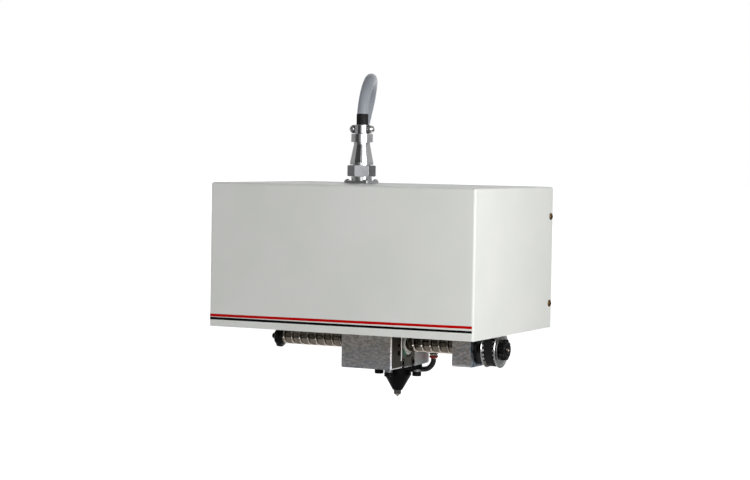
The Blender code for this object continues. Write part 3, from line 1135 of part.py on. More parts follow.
def make_stylus(carriage, stylus):
    """The cylinder block, flange, nose, return spring, and the piston that carries the stylus."""
    axis = (STYLUS_X, STYLUS_Y)
    low = (CARRIAGE_X0, STYLUS_BLOCK_Y0, STYLUS_BLOCK_Z0)
    block = span("stylus_block", low, (CARRIAGE_X1, STYLUS_BLOCK_Y1, CARRIAGE_Z1), carriage, CLEAR_ALUMINIUM,
                 STYLUS_BLOCK_CHAMFER, 2)
    ends = ((*axis, STYLUS_BLOCK_Z0 - OVERRUN), (*axis, STYLUS_BLOCK_Z0 + STYLUS_BORE_DEPTH))
    cut(block, hole("cylinder_bore", STYLUS_BORE / 2, *ends, carriage, FINE))

    outline = rounded_rectangle(FLANGE_PLATE_SIDE, FLANGE_PLATE_SIDE, FLANGE_PLATE_CORNER, 6)
    flange = piece("stylus_flange", extruded(outline, FLANGE_PLATE_THICKNESS), carriage,
                   (*axis, (FLANGE_Z0 + FLANGE_Z1) / 2), BLACK_ANODISED, (0, 0, math.pi / 4))
    neck_z1 = FLANGE_Z1 - FLANGE_PLATE_THICKNESS / 2
    neck = rod(NECK_DIAMETER / 2, neck_z1 - NECK_Z0, FINE)
    join(flange, tool("neck", neck, carriage, (*axis, (NECK_Z0 + neck_z1) / 2)))
    port_start, port_end = NECK_DIAMETER / 2 - OVERRUN, PORT_REACH
    reach = (port_start + port_end) / 2
    port_z = FLANGE_Z0 - PORT_DROP
    place = (STYLUS_X + reach * math.cos(PORT_ANGLE), STYLUS_Y + reach * math.sin(PORT_ANGLE), port_z)
    port = rod(PORT_DIAMETER / 2, port_end - port_start, SMALL)
    join(flange, tool("neck_port", port, carriage, place, (0, math.pi / 2, PORT_ANGLE)))
    ends = ((*axis, NECK_Z0 - OVERRUN), (*axis, FLANGE_Z1 + OVERRUN))
    cut(flange, hole("rod_bore", ROD_DIAMETER / 2 + ROD_BORE_GAP, *ends, carriage, ROUND))
    low = (STYLUS_X - FLANGE_PLATE_SIDE, STYLUS_BLOCK_Y1, NECK_Z0)
    high = (STYLUS_X + FLANGE_PLATE_SIDE, STYLUS_BLOCK_Y1 + FLANGE_PLATE_SIDE, FLANGE_Z1 + OVERRUN)
    cut(flange, span("flange_back_cut", low, high, carriage, cutter=True))
    for screw, angle in enumerate(FLANGE_SCREW_TURNS):
        x = STYLUS_X + FLANGE_SCREW_CIRCLE / 2 * math.cos(angle)
        y = STYLUS_Y + FLANGE_SCREW_CIRCLE / 2 * math.sin(angle)
        ends = ((x, y, FLANGE_Z0 - OVERRUN), (x, y, FLANGE_Z1 + OVERRUN))
        cut(flange, hole(f"flange_hole_{screw}", FLANGE_SCREW_HOLE / 2, *ends, carriage))

    bore = TIP_DIAMETER / 2 + GAP
    wide, tip = NOSE_TOP_DIAMETER / 2, NOSE_TIP_DIAMETER / 2
    cone = [(bore, 0), (tip, 0), (wide, NOSE_HEIGHT - NOSE_RIM), (wide, NOSE_HEIGHT), (bore, NOSE_HEIGHT)]
    piece("nose_cone", turned(cone, FINE), carriage, (*axis, NOSE_Z0), BLACK_ANODISED)

    ring, rest = STYLUS_BORE / 2 - GAP * 2, STYLUS_BORE / 2 - GAP * 2 - PISTON_GROOVE
    third = PISTON_HEIGHT / 3
    shaft = ROD_DIAMETER / 2
    piston = turned([(0, TIP_Z1 + GAP), (shaft, TIP_Z1 + GAP), (shaft, PISTON_Z0), (ring, PISTON_Z0),
                     (ring, PISTON_Z0 + third), (rest, PISTON_Z0 + third), (rest, PISTON_Z1 - third),
                     (ring, PISTON_Z1 - third), (ring, PISTON_Z1), (0, PISTON_Z1)], ROUND)
    piece("piston_rod", piston, stylus, (*axis, 0), GROUND_STEEL)
    hexagon = TIP_DIAMETER / 2
    base = TIP_Z1 - TIP_HEX_LENGTH
    slim, stout = [hexagon * share for share in TIP_CONE_SHARES]
    point = turned([(0, base - TIP_POINT_LENGTH), (TIP_POINT_DIAMETER / 2, base - TIP_POINT_LENGTH),
                    (slim, base - TIP_POINT_LENGTH * TIP_CONE_DROP_SHARE), (stout, base),
                    (hexagon, base + TIP_POINT_LENGTH / 2), (hexagon, TIP_Z1), (0, TIP_Z1)], TIP_SIDES)
    piece("stylus_tip", point, stylus, (*axis, 0), GROUND_STEEL)

    curve = bpy.data.curves.new("return_spring", "CURVE")
    curve.dimensions = "3D"
    curve.bevel_depth = SPRING_WIRE / 2
    curve.bevel_resolution = 1
    curve.use_fill_caps = True
    low, high = FLANGE_Z1 + SPRING_WIRE / 2 + GAP, PISTON_Z0 - SPRING_WIRE / 2 - GAP
    count = SPRING_CURLS * SPRING_CURL_POINTS
    radius = SPRING_DIAMETER / 2
    points = []
    for index in range(count + 1):
        angle = 2 * math.pi * index / SPRING_CURL_POINTS
        climb = low + (high - low) * index / count
        points.append((radius * math.cos(angle), radius * math.sin(angle), climb))
    wire(curve, points)
    spring = bpy.data.objects.new("return_spring", curve)
    place_curve(spring, carriage, (*axis, 0), GROUND_STEEL)


def wire(curve, points):
    """One open run of straight steps through the points."""
    spline = curve.splines.new("POLY")
    spline.points.add(len(points) - 1)
    for target, point in zip(spline.points, points):
        target.co = (*point, 1.0)


def place_curve(obj, on, at, look):
    bpy.context.scene.collection.objects.link(obj)
    obj.parent = on
    obj.location = Vector(at) - Vector(on["place"])
    obj.data.materials.append(finish_of(obj.name, look))


def smooth_route(points, step):
    """Points a step apart on a smooth curve through the points given."""
    fine = []
    for index in range(len(points) - 1):
        before = Vector(points[max(index - 1, 0)])
        start, end = Vector(points[index]), Vector(points[index + 1])
        after = Vector(points[min(index + 2, len(points) - 1)])
        for part in range(ROUTE_PARTS):
            t = part / ROUTE_PARTS
            fine.append(0.5 * (2 * start + (end - before) * t
                               + (2 * before - 5 * start + 4 * end - after) * t * t
                               + (3 * start - 3 * end + after - before) * t ** 3))
    fine.append(Vector(points[-1]))
    total = sum((b - a).length for a, b in zip(fine, fine[1:]))
    count = round(total / step)
    chosen, run, target = [fine[0]], 0.0, total / count
    for a, b in zip(fine, fine[1:]):
        length = (b - a).length
        while run + length >= target and len(chosen) < count:
            chosen.append(a.lerp(b, (target - run) / length))
            target += total / count
        run += length
    chosen.append(fine[-1])
    return chosen


def tube(name, points, diameter, sides, on, look):
    """A round cord or pipe through the points, in the head's frame."""
    curve = bpy.data.curves.new(name, "CURVE")
    curve.dimensions = "3D"
    curve.bevel_depth = diameter / 2
    curve.bevel_resolution = sides
    curve.use_fill_caps = True
    wire(curve, [Vector(p) - Vector(on["place"]) for p in points])
    obj = bpy.data.objects.new(name, curve)
    place_curve(obj, on, on["place"], look)
    return obj


def make_air_line(carriage):
    """Valve, push-in fitting with its release collar, and the short tube to the neck's port."""
    x0 = CARRIAGE_X1 + GAP
    y = SCREW_Y + VALVE_Y
    low = (x0, y - VALVE_HALF_DEPTH, SCREW_Z - VALVE_DROP)
    span("valve_body", low, (x0 + VALVE_WIDTH, y + VALVE_HALF_DEPTH, SCREW_Z + VALVE_TOP), carriage,
         BLACK_PLASTIC, VALVE_CHAMFER)
    place = (CARRIAGE_X1 + FITTING_REACH, SCREW_Y + FITTING_Y)
    top = SCREW_Z - VALVE_DROP - GAP
    body, ring, edge = FITTING_BODY_DIAMETER / 2, FITTING_RING_DIAMETER / 2, FITTING_RING_HEIGHT / 6
    waist = -FITTING_BODY_HEIGHT
    base = waist - FITTING_RING_HEIGHT
    fitting = turned([(0, base), (ring - edge, base), (ring, base + edge), (ring, waist), (body, waist),
                      (body, -edge), (body - edge, 0), (0, 0)], ROUND)
    piece("air_fitting", fitting, carriage, (*place, top), NICKEL_PLATE)
    collar_z1 = top + base - GAP
    wide, slim = COLLAR_TOP_DIAMETER / 2, COLLAR_LOW_DIAMETER / 2
    collar = turned([(0, -COLLAR_HEIGHT), (slim, -COLLAR_HEIGHT), (wide, -COLLAR_RIM), (wide, 0), (0, 0)],
                    ROUND)
    piece("fitting_collar", collar, carriage, (*place, collar_z1), RED_PLASTIC)

    start = Vector((*place, collar_z1 - COLLAR_HEIGHT - GAP * 2))
    port = Vector((STYLUS_X, STYLUS_Y, FLANGE_Z0 - PORT_DROP))
    outward = Vector((math.cos(PORT_ANGLE), math.sin(PORT_ANGLE), 0))
    end = port + outward * (PORT_REACH + GAP * 2)
    elbow = end + outward * TUBE_DIAMETER / 2
    route = [start]
    for step in range(1, TUBE_BEND_STEPS + 1):
        turn = math.pi / 2 * step / TUBE_BEND_STEPS
        point = elbow.lerp(start, math.cos(turn))
        point.z = start.z + (end.z - start.z) * math.sin(turn)
        route.append(point)
    route.append(end)
    tube("air_tube", smooth_route(route, TUBE_DIAMETER / 3), TUBE_DIAMETER, 2, carriage, BLACK_PLASTIC)


def make_connector(root, nut_axis):
    """Panel socket on the cover, and the plug's pieces up to the cord's sleeve."""
    axis = (CONNECTOR_X, CONNECTOR_Y)
    z0 = TOP_Z + GAP
    plate = extruded(rounded_rectangle(SOCKET_FLANGE, SOCKET_FLANGE, SOCKET_FLANGE_CORNER),
                     SOCKET_FLANGE_THICKNESS)
    socket = piece("connector_socket", plate, root, (*axis, z0 + SOCKET_FLANGE_THICKNESS / 2), NICKEL_PLATE)
    barrel_z0, barrel_z1 = TOP_Z - SHEET - SOCKET_INSIDE, TOP_Z + SOCKET_BARREL_HEIGHT
    barrel = rod(SOCKET_BARREL / 2, barrel_z1 - barrel_z0, FINE)
    join(socket, tool("socket_barrel", barrel, root, (*axis, (barrel_z0 + barrel_z1) / 2)))

    nut_z0 = barrel_z1 + GAP
    nut_z1 = nut_z0 + COUPLING_NUT_HEIGHT
    corner = COUPLING_NUT_ACROSS / math.sqrt(3)
    chamfer = COUPLING_NUT_CHAMFER
    height = COUPLING_NUT_HEIGHT
    nut = piece("coupling_nut", turned([(0, 0), (corner, 0), (corner, height), (0, height)], 6), nut_axis,
                (*axis, nut_z0), NICKEL_PLATE, (0, 0, COUPLING_NUT_TURN))
    dome = turned([(0, 0), (corner - chamfer, 0), (corner, chamfer / 2), (corner, height - chamfer / 2),
                   (corner - chamfer, height), (0, height)], ROUND)
    combine(nut, tool("nut_dome", dome, nut_axis, (*axis, nut_z0)), "INTERSECT")
    cut(nut, hole("nut_bore", PLUG_CORE / 2 + GAP, (*axis, nut_z0 - OVERRUN), (*axis, nut_z1 + OVERRUN),
                  nut_axis, FINE))

    core, foot, head = PLUG_CORE / 2, SHELL_BOTTOM_DIAMETER / 2, SHELL_TOP_DIAMETER / 2
    collar = PLUG_COLLAR_DIAMETER / 2
    shell_z = height + GAP * 2
    shell_top = shell_z + SHELL_HEIGHT
    plug = turned([(0, GAP), (core, GAP), (core, shell_z), (foot, shell_z), (foot, shell_z + SHELL_RIM),
                   (head, shell_top - SHELL_RIM), (head, shell_top), (collar, shell_top),
                   (collar, shell_top + PLUG_COLLAR_HEIGHT), (0, shell_top + PLUG_COLLAR_HEIGHT)], FINE)
    piece("plug_shell", plug, root, (*axis, nut_z0), NICKEL_PLATE)

    clamp_z0 = nut_z0 + shell_top + PLUG_COLLAR_HEIGHT + GAP
    half, ear, neck = CLAMP_WIDTH / 2, CLAMP_EAR / 2, CLAMP_NECK / 2
    bend = math.atan2(CLAMP_DEPTH / 2 - ear, half - ear) * CLAMP_LOBE_SHARE
    outline = [(half, -ear), (half, ear)]
    outline += arc((0, 0), CLAMP_DEPTH / 2, bend, math.pi - bend, CLAMP_ARC_STEPS)
    outline += [(-half, ear), (-half, -ear)]
    outline += arc((0, 0), CLAMP_DEPTH / 2, math.pi + bend, 2 * math.pi - bend, CLAMP_ARC_STEPS)
    clamp = piece("cord_clamp", extruded(outline, CLAMP_HEIGHT), root, (*axis, clamp_z0 + CLAMP_HEIGHT / 2),
                  NICKEL_PLATE)
    ends = ((*axis, clamp_z0 - OVERRUN), (*axis, clamp_z0 + CLAMP_HEIGHT + OVERRUN))
    cut(clamp, hole("clamp_bore", SLEEVE_DIAMETER / 2 + GAP, *ends, root, ROUND))
    for sign in (-1, 1):
        x = CONNECTOR_X + (neck if sign > 0 else -neck - CLAMP_NECK)
        low = (x, CONNECTOR_Y - GAP * 2, clamp_z0 - OVERRUN)
        high = (x + CLAMP_NECK, CONNECTOR_Y + GAP * 2, clamp_z0 + CLAMP_HEIGHT / 2)
        cut(clamp, span(f"clamp_split_{sign}", low, high, root, cutter=True))
    sleeve_height = CLAMP_HEIGHT + SLEEVE_ABOVE_CLAMP
    sleeve = rod(SLEEVE_DIAMETER / 2, sleeve_height, ROUND)
    piece("cord_sleeve", sleeve, root, (*axis, clamp_z0 + sleeve_height / 2), BLACK_RUBBER)


def coil_points():
    """The coil's centre line: in to the middle at a steady rate, up a layer, and out again."""
    total = COIL_TURNS + COIL_START / (2 * math.pi)
    count = round(total * COIL_POINTS)
    first_y = BACK_Y + COIL_CLEARANCE + CORD_DIAMETER / 2
    points = []
    for index in range(count + 1):
        turn = total * index / count
        angle = COIL_START - 2 * math.pi * turn
        radius = COIL_RADIUS - COIL_STEP * min(turn, total - turn)
        climb = min(max((turn - total / 2) / COIL_CLIMB_TURNS + 0.5, 0.0), 1.0)
        layer = COIL_LAYER * climb * climb * (3 - 2 * climb)
        x, z = COIL_X + radius * math.cos(angle), COIL_Z + radius * math.sin(angle)
        points.append(Vector((x, first_y + layer, z)))
    return points


def least_gap(points, diameter):
    """The smallest clear distance between turns that aren't neighbours along the cord."""
    skip = COIL_POINTS // 2
    least = min((a - b).length for i, a in enumerate(points) for b in points[i + skip:])
    return least - diameter


def make_cord(root):
    """The free stretch, the coil of spare length behind the box, and the plug at its far end."""
    coil = coil_points()
    run = (coil[-1] - coil[-2]).normalized()
    start_run = (coil[0] - coil[1]).normalized()
    print("least gap in the coil, mm:", round(least_gap(coil, CORD_DIAMETER) * 1000, 2))
    entry = coil[0] + start_run * CORD_DIAMETER
    tail = [coil[-1] + run * COIL_END_RUN]
    tube("cord_coil", [entry] + coil + tail, CORD_DIAMETER, 1, root, GREY_PVC)
    end = entry + start_run * GAP
    route = [Vector(p) for p in CORD_ROUTE] + [end + start_run * CORD_DIAMETER, end]
    smooth = smooth_route(route, CORD_DIAMETER)
    tube("cord_lead", smooth, CORD_DIAMETER, 3, root, GREY_PVC)
    for label, line in (("free stretch", smooth), ("coil", [entry] + coil + tail)):
        print(label, "mm:", round(sum((b - a).length for a, b in zip(line, line[1:])) * 1000))

    face = tail[0] + run * GAP * 2
    neck, wide, bore = FAR_PLUG_NECK / 2, FAR_PLUG_DIAMETER / 2, FAR_PLUG_BORE / 2
    length, hexed = FAR_PLUG_LENGTH, FAR_PLUG_HEX_LENGTH
    inside = length - FAR_PLUG_BORE_DEPTH
    plug = turned([(0, 0), (neck, 0), (neck, FAR_PLUG_NECK_LENGTH), (wide, length - hexed), (wide, length),
                   (bore, length), (bore, inside), (0, inside)], ROUND)
    turn = run.to_track_quat("Z", "Y").to_euler()
    piece("far_plug", plug, root, face, NICKEL_PLATE, turn)


def main():
    clear_scene()
    root = carrier("head", (0, 0, 0))
    y_drive = carrier("y_screw_axis", (0, SCREW_Y, Y_SCREW_Z), root)
    saddle = carrier("saddle_axis", (0, SCREW_Y, SADDLE_Z1), root)
    x_screw = carrier("x_screw_axis", (0, SCREW_Y, SCREW_Z), saddle)
    x_shaft = carrier("x_motor_axis", (BLOCK_X1, SCREW_Y, MOTOR_Z), saddle)
    carriage = carrier("carriage_axis", (CARRIAGE_X, SCREW_Y, SCREW_Z), saddle)
    stylus = carrier("stylus_axis", (STYLUS_X, STYLUS_Y, NOSE_Z0), carriage)
    nut_axis = carrier("coupling_nut_axis", (CONNECTOR_X, CONNECTOR_Y, TOP_Z), root)
    make_cover(root)
    make_back_plate(root)
    make_frame(root)
    make_y_axis(root, y_drive, saddle)
    make_saddle(saddle)
    make_x_axis(saddle, x_screw, x_shaft, carriage)
    make_carriage(carriage)
    make_stylus(carriage, stylus)
    make_air_line(carriage)
    make_connector(root, nut_axis)
    make_cord(root)


main()
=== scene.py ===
# Scribing marking machine head: looks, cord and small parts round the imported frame, with light and camera
import math

import bmesh
import bpy
from mathutils import Euler, Matrix, Vector


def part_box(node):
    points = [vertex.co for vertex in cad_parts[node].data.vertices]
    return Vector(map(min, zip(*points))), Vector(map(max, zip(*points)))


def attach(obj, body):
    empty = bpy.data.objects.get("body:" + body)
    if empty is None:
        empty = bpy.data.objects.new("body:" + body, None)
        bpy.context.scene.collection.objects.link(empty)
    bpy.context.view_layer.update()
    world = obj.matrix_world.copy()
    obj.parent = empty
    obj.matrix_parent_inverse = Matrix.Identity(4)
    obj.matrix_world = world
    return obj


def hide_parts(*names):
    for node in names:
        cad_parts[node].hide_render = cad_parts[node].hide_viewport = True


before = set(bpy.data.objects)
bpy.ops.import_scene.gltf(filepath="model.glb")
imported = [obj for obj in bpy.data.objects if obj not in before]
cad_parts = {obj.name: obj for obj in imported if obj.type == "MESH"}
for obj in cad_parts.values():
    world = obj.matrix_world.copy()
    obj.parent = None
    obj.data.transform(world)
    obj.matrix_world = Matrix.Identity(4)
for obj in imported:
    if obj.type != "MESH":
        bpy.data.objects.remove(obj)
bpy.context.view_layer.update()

# Camera, fitted to the cover's corners in the photograph
CAMERA_PLACE = (0.979468, -2.122950, 0.114063)
CAMERA_AZIMUTH = math.radians(26.298)
CAMERA_ELEVATION = math.radians(2.499)
CAMERA_ROLL = math.radians(0.944)
CAMERA_LENS = 98.35
CAMERA_SENSOR = 36.0

# Cord: the same route as its solids, in metres
CORD_DIAMETER = 0.012
COIL_RADIUS = 0.074
COIL_STEP = 0.0126
COIL_LAYER = 0.0126
COIL_TURNS = 4
COIL_CENTRE = (-0.145, -0.007, -0.0075)
COIL_POINTS = 24
COIL_START = math.radians(10.3)
COIL_CLIMB_TURNS = 0.5
COIL_END_RUN = 0.018
CORD_ROUTE = (
    (-0.0367, -0.1030, 0.1534),
    (-0.0364, -0.1028, 0.1601),
    (-0.0363, -0.1008, 0.1679),
    (-0.0371, -0.0952, 0.1785),
    (-0.0394, -0.0855, 0.1875),
    (-0.0433, -0.0725, 0.1934),
    (-0.0487, -0.0575, 0.1952),
    (-0.0550, -0.0430, 0.1926),
    (-0.0616, -0.0305, 0.1851),
    (-0.0681, -0.0210, 0.1740),
    (-0.0742, -0.0150, 0.1604),
    (-0.0799, -0.0114, 0.1456),
    (-0.0840, -0.0092, 0.1294),
    (-0.0858, -0.0078, 0.1133),
    (-0.0857, -0.0072, 0.0948),
    (-0.0844, -0.0070, 0.0752),
    (-0.0817, -0.0070, 0.0545),
    (-0.0783, -0.0070, 0.0380),
)

# Places on the head, in metres, some of them read off the frame
COVER_LOW, COVER_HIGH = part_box("cover")
PLATE_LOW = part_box("back_plate")[0]
SCREW_Y = -0.114
SCREW_Z = -0.0955
Y_SCREW_Z = 0.0345
STYLUS_X, STYLUS_Y = -0.0006, -0.077
CONNECTOR_X, CONNECTOR_Y = CORD_ROUTE[0][:2]
RAIL_X = 0.0545
PLATE_THICKNESS = 0.012
PAD_THICKNESS = 0.014
Y_BRACKET_WALL = 0.0063
X_MOTOR_Z = -0.015643

# Gap between faces that touch, as in the solids, and the bore round the long screw's journal
SEAT_GAP = 0.0003
JOURNAL_BORE = 0.0053

# Stripes across the cover's front, at the left and the right end: lower and upper edge above the cover's own
STRIPE_PROUD = 0.0001
STRIPE_INSET_LEFT = 0.0008
STRIPE_INSET_RIGHT = 0.0016
STRIPE_COLUMNS = 40
RED_STRIPE = ((0.01025, 0.01338), (0.01265, 0.01559))
BLACK_STRIPE = ((0.00700, 0.00994), (0.00815, 0.01078))

# Ball threads: lead, radius, and the round groove between the lands, with its rows of facets
X_LEAD = 0.010
X_RADIUS = 0.008
X_GROOVE = 0.0034
X_GROOVE_DEPTH = 0.0010
X_GROOVE_ROWS = 10
Y_LEAD = 0.005
Y_RADIUS = 0.006
Y_GROOVE = 0.0026
Y_GROOVE_DEPTH = 0.0009
Y_GROOVE_ROWS = 6

# The long screw is blacked up to the first place and from the second, but not in its drilled centre
STUB_BLACK_TO = -0.1245
NOSE_BLACK_FROM = 0.1392
DRILL_RADIUS = 0.0019

# Shares of the lead from a land's middle, below 0 left of the groove: a painted glint on the groove's left
# wall, and a painted shade line on its right wall
TRACK_PAINTED_GLINT_SHARES = (-0.43, -0.33)
TRACK_PAINTED_SHADE_SHARES = (0.31, 0.45)

# The cord's clamp: its band, its bore, how deep its ears are, and how its edges are eased
CLAMP_BAND_RADIUS = 0.0085
CLAMP_BORE = 0.0066
CLAMP_EAR_DEPTH = 0.0075
CLAMP_BAND_EASE = 0.0004
CLAMP_EAR_EASE = 0.0007

# Notches in the long screw's end ring and round nut: how many, how deep, and the band that they press in
RING_NOTCHES = 8
RING_NOTCH_DEPTH = 0.0009
RING_NOTCH_BAND = 0.0012
LOCK_NUT_RADIUS = 0.0113
LOCK_NUT_LOBES = 10
LOCK_NUT_LOBE_DEPTH = 0.0019
LOCK_NUT_BAND = 0.0010

# Toothed pulleys: teeth, the motor's bore, pitch, depth, and a groove's mouth and floor in shares of a pitch
SCREW_TEETH = 22
MOTOR_TEETH = 16
MOTOR_BORE = 0.0028
TOOTH_PITCH = 0.005
TIP_DROP = 0.0005
TOOTH_DEPTH = 0.0019
MOUTH_SHARE = 0.52
FLOOR_SHARE = 0.36
PULLEY_FLANGE = 0.0015
PULLEY_FLANGE_EASE_SHARE = 0.4

# Where the teeth lie, inside which radius painted shade darkens the gaps between them, and how much rougher
# the teeth's tips are, which carry a painted highlight
TOOTH_MIDDLE = 0.13075
TOOTH_HALF_WIDTH = 0.0066
TOOTH_PAINTED_SHADE_RADIUS = 0.0166
TOOTH_TIP_ROUGHER = 0.3

# Where the air fitting's plated ring ends, the ground blocks change tone, and the painted teal reflection
# starts and is full
FITTING_RING_TOP = -0.1101
BLOCK_LOW_AND_HIGH = (-0.117, -0.085)
TEAL_REFLECTION_X = (0.1130, 0.1134)

# Where each motor's black laminations lie along its axis
X_MOTOR_BLACK = (0.0825, 0.1045)
Y_MOTOR_BLACK = (-0.073, -0.043)

# Heads: how far the cap screws' edges are eased, and the places of screws and washers
CAP_EDGE = 0.0004
COVER_SCREW_HEIGHTS = (0.0269, 0.1224)
CLAMP_SCREW_REACH = 0.0125
CLAMP_SCREW_DROP = 0.0202
CLAMP_SCREW_HEIGHT = 0.0064
CLAMP_SCREW_DEPTH = 0.0066
FLANGE_SCREW_REACH = 0.0232
FLANGE_SEAT_RISE = 0.0063
WASHER_STACK = 0.0026
SOCKET_SCREW_REACH = 0.0115
SOCKET_SEAT_RISE = 0.0120
CORD_CLAMP_SCREW_REACH = 0.0103
MOTOR_SCREW_REACH = 0.0155
X_RAIL_REACH = 0.022
BEAM_SCREW_SHIFTS = (-0.0335, 0.0)
FRAME_SCREW_X = (0.050, 0.072, 0.094)
GUSSET_SCREW_Z = (0.036, 0.012)

# The front block's set screws: the name, width and drop below the long screw of each, and their inset
SET_SCREWS = (("small", 0.0040, 0), ("large", 0.0058, 0.0084))
SET_SCREW_INSET = 0.0064

# The ball nut's green cap: its reach and angles round the screw's axis, how it sits, its edge and taper
NUT_CAP_REACH = (0.0119, 0.0152)
NUT_CAP_ANGLES = (math.radians(206), math.radians(240))
NUT_CAP_SUNK = 0.001
NUT_CAP_PROUD = 0.0006
NUT_CAP_EDGE = 0.0004
NUT_CAP_TAPER_SHARE = 0.35
NUT_CAP_STEPS = 10

# The far plug: gap to the cord's end, length, how deep its pins stand, and each ring's pins and reach
FAR_PLUG_GAP = 0.0006
FAR_PLUG_LENGTH = 0.056
FAR_PLUG_RECESS = 0.002
PIN_RINGS = ((6, 0.0032), (12, 0.0062))

# The straps round the coil: their angles, width, thickness, slack and steps round
TIE_TURNS = (math.radians(75), math.radians(195), math.radians(315))
TIE_WIDTH = 0.011
TIE_THICKNESS = 0.0008
TIE_SLACK = 0.0001
TIE_STEPS = 72

# Round facets, and the angle from which an edge shows as sharp
FINE = 48
ROUND = 24
SHARP = math.radians(32)

# Soft zones of the studio's walls: aim, cosine where the zone starts and is full, brightness there
ZONES = (
    ((0.34, -0.94, 0.02), 0.927, 0.985, 0.60),
    ((-0.96, -0.26, 0.05), 0.766, 0.940, 0.38),
    ((0.85, 0.53, 0.10), 0.500, 0.820, 0.50),
    ((0.0, 0.0, 1.0), 0.30, 0.90, 0.25),
)
WALL_BRIGHTNESS = 0.06
WALL_DIFFUSE_SHARE = 0.5
# The same for the big window beside the camera and for the white sheet behind the object, as metal sees them
WINDOW = ((0.743, -0.669, 0.05), 0.829, 0.920, 2.0)
SHEET = ((-0.443, 0.897, 0.0), 0.72, 0.90, 1.0)
# Each lamp's place, aim, size and power in watts
LAMPS = {
    "key": ((0.84, -0.57, 0.20), (0.12, -0.15, 0.0), 0.55, 6.9),
    "fill": ((-1.6, -1.5, 0.5), (-0.1, -0.2, 0.0), 1.2, 12.2),
    "rear": ((-0.6, 1.8, 0.8), (0.0, 0.0, 0.0), 1.5, 12.0),
}
FLOOR_Z = -0.55
FLOOR_SIZE = 40.0

# The middle of a noise's values, where most of them lie
MIDDLE = (0.3, 0.7)


def put(tree, kind, sockets=None, **settings):
    """Add a node with its settings, fill its sockets with values, links or formulas, and give its outputs."""
    node = tree.nodes.new(kind)
    for key, value in settings.items():
        setattr(node, key, value)
    for key, value in (sockets or {}).items():
        value = solved(tree, value)
        if isinstance(value, bpy.types.NodeSocket):
            tree.links.new(value, node.inputs[key])
        else:
            node.inputs[key].default_value = value
    return node.outputs


def solved(tree, formula):
    """The result of a formula: an operation and its terms, which are numbers, sockets or formulas again.

    RANGE maps a value from a low and a high to another low and high.
    """
    if not (isinstance(formula, tuple) and isinstance(formula[0], str)):
        return formula
    operation, *terms = formula
    if operation == "RANGE":
        return put(tree, "ShaderNodeMapRange", dict(enumerate(terms)))[0]
    return put(tree, "ShaderNodeMath", dict(enumerate(terms)), operation=operation)[0]


def between(value, low, high):
    """A formula: 1 where a value lies between two others."""
    return "MULTIPLY", ("GREATER_THAN", value, low), ("LESS_THAN", value, high)


def linear(code):
    """An sRGB hex colour as linear values."""
    shares = [int(code[start:start + 2], 16) / 255 for start in (0, 2, 4)]
    return (*[c / 12.92 if c <= 0.04045 else ((c + 0.055) / 1.055) ** 2.4 for c in shares], 1.0)


def finish(name, **sockets):
    """A new material, its tree and its shader, with the constant values on the shader's own sockets."""
    material = bpy.data.materials.new(name)
    material.use_nodes = True
    shader = material.node_tree.nodes["Principled BSDF"]
    for key, value in sockets.items():
        shader.inputs[key.replace("_", " ")].default_value = value
    return material, material.node_tree, shader


def noise(tree, cell, detail=2, stretch=(1, 1, 1), rough=0.5):
    """Noise in object space with cells of a size in millimetres, stretched along an axis for lines."""
    place = put(tree, "ShaderNodeTexCoord")["Object"]
    drawn = put(tree, "ShaderNodeMapping", {"Vector": place, "Scale": stretch})[0]
    return put(tree, "ShaderNodeTexNoise", {"Vector": drawn, "Scale": 1000 / cell, "Detail": detail,
                                            "Roughness": rough})["Fac"]


def laid_over(tree, base, *layers):
    """A colour with others laid over it in turn, each by its share."""
    for share, colour in layers:
        pair = [linear(tone) if isinstance(tone, str) else tone for tone in (base, colour)]
        base = put(tree, "ShaderNodeMix", {0: share, 6: pair[0], 7: pair[1]}, data_type="RGBA")[2]
    return base


def dress(tree, shader, colour, wear, rough, height=None, strength=0.0, depth=0.0):
    """End a material: its colour, its roughness between two values by the wear, and its relief."""
    tree.links.new(colour, shader.inputs["Base Color"])
    tree.links.new(solved(tree, ("RANGE", wear, *MIDDLE, *rough)), shader.inputs["Roughness"])
    if height is not None:
        bump = put(tree, "ShaderNodeBump", {"Height": height, "Strength": strength, "Distance": depth})[0]
        tree.links.new(bump, shader.inputs["Normal"])


def surface(name, first, second, cloud, wear, rough, grain=None, relief=(), **sockets):
    """A finish in clouds of two tones; relief is the strength and depth of the grain."""
    material, tree, shader = finish(name, **sockets)
    made = {pattern: noise(tree, *pattern) for pattern in {cloud, wear, grain} - {None}}
    colour = laid_over(tree, first, (("RANGE", made[cloud], *MIDDLE, 0, 1), second))
    dress(tree, shader, colour, made[wear], rough, made.get(grain), *relief)
    return material


def object_place(tree):
    """The object's own coordinates, one by one."""
    return put(tree, "ShaderNodeSeparateXYZ", {"Vector": put(tree, "ShaderNodeTexCoord")["Object"]})


def screw_reach(tree):
    """The distance from the long screw's axis."""
    place = put(tree, "ShaderNodeTexCoord")["Object"]
    flat = put(tree, "ShaderNodeVectorMath", {0: place, 1: (0.0, SCREW_Y, SCREW_Z)}, operation="SUBTRACT")[0]
    across = put(tree, "ShaderNodeVectorMath", {0: flat, 1: (0.0, 1.0, 1.0)}, operation="MULTIPLY")[0]
    return put(tree, "ShaderNodeVectorMath", {0: across}, operation="LENGTH")["Value"]


def milled_aluminium(name, stretch, warm, cool, bright):
    """Bare milled aluminium: streaks along the cutter's way over cloudy patches of warm and cool grey."""
    material, tree, shader = finish(name, Metallic=1.0, Anisotropic=0.35)
    cloud, lines = noise(tree, 22.2, 3), noise(tree, 1.11, 2, stretch)
    colour = laid_over(tree, warm, (("RANGE", cloud, 0.35, 0.65, 0, 1), cool),
                       (("RANGE", lines, *MIDDLE, 0, 0.35), bright))
    dress(tree, shader, colour, lines, (0.30, 0.46), lines, 0.16, 0.0002)
    return material


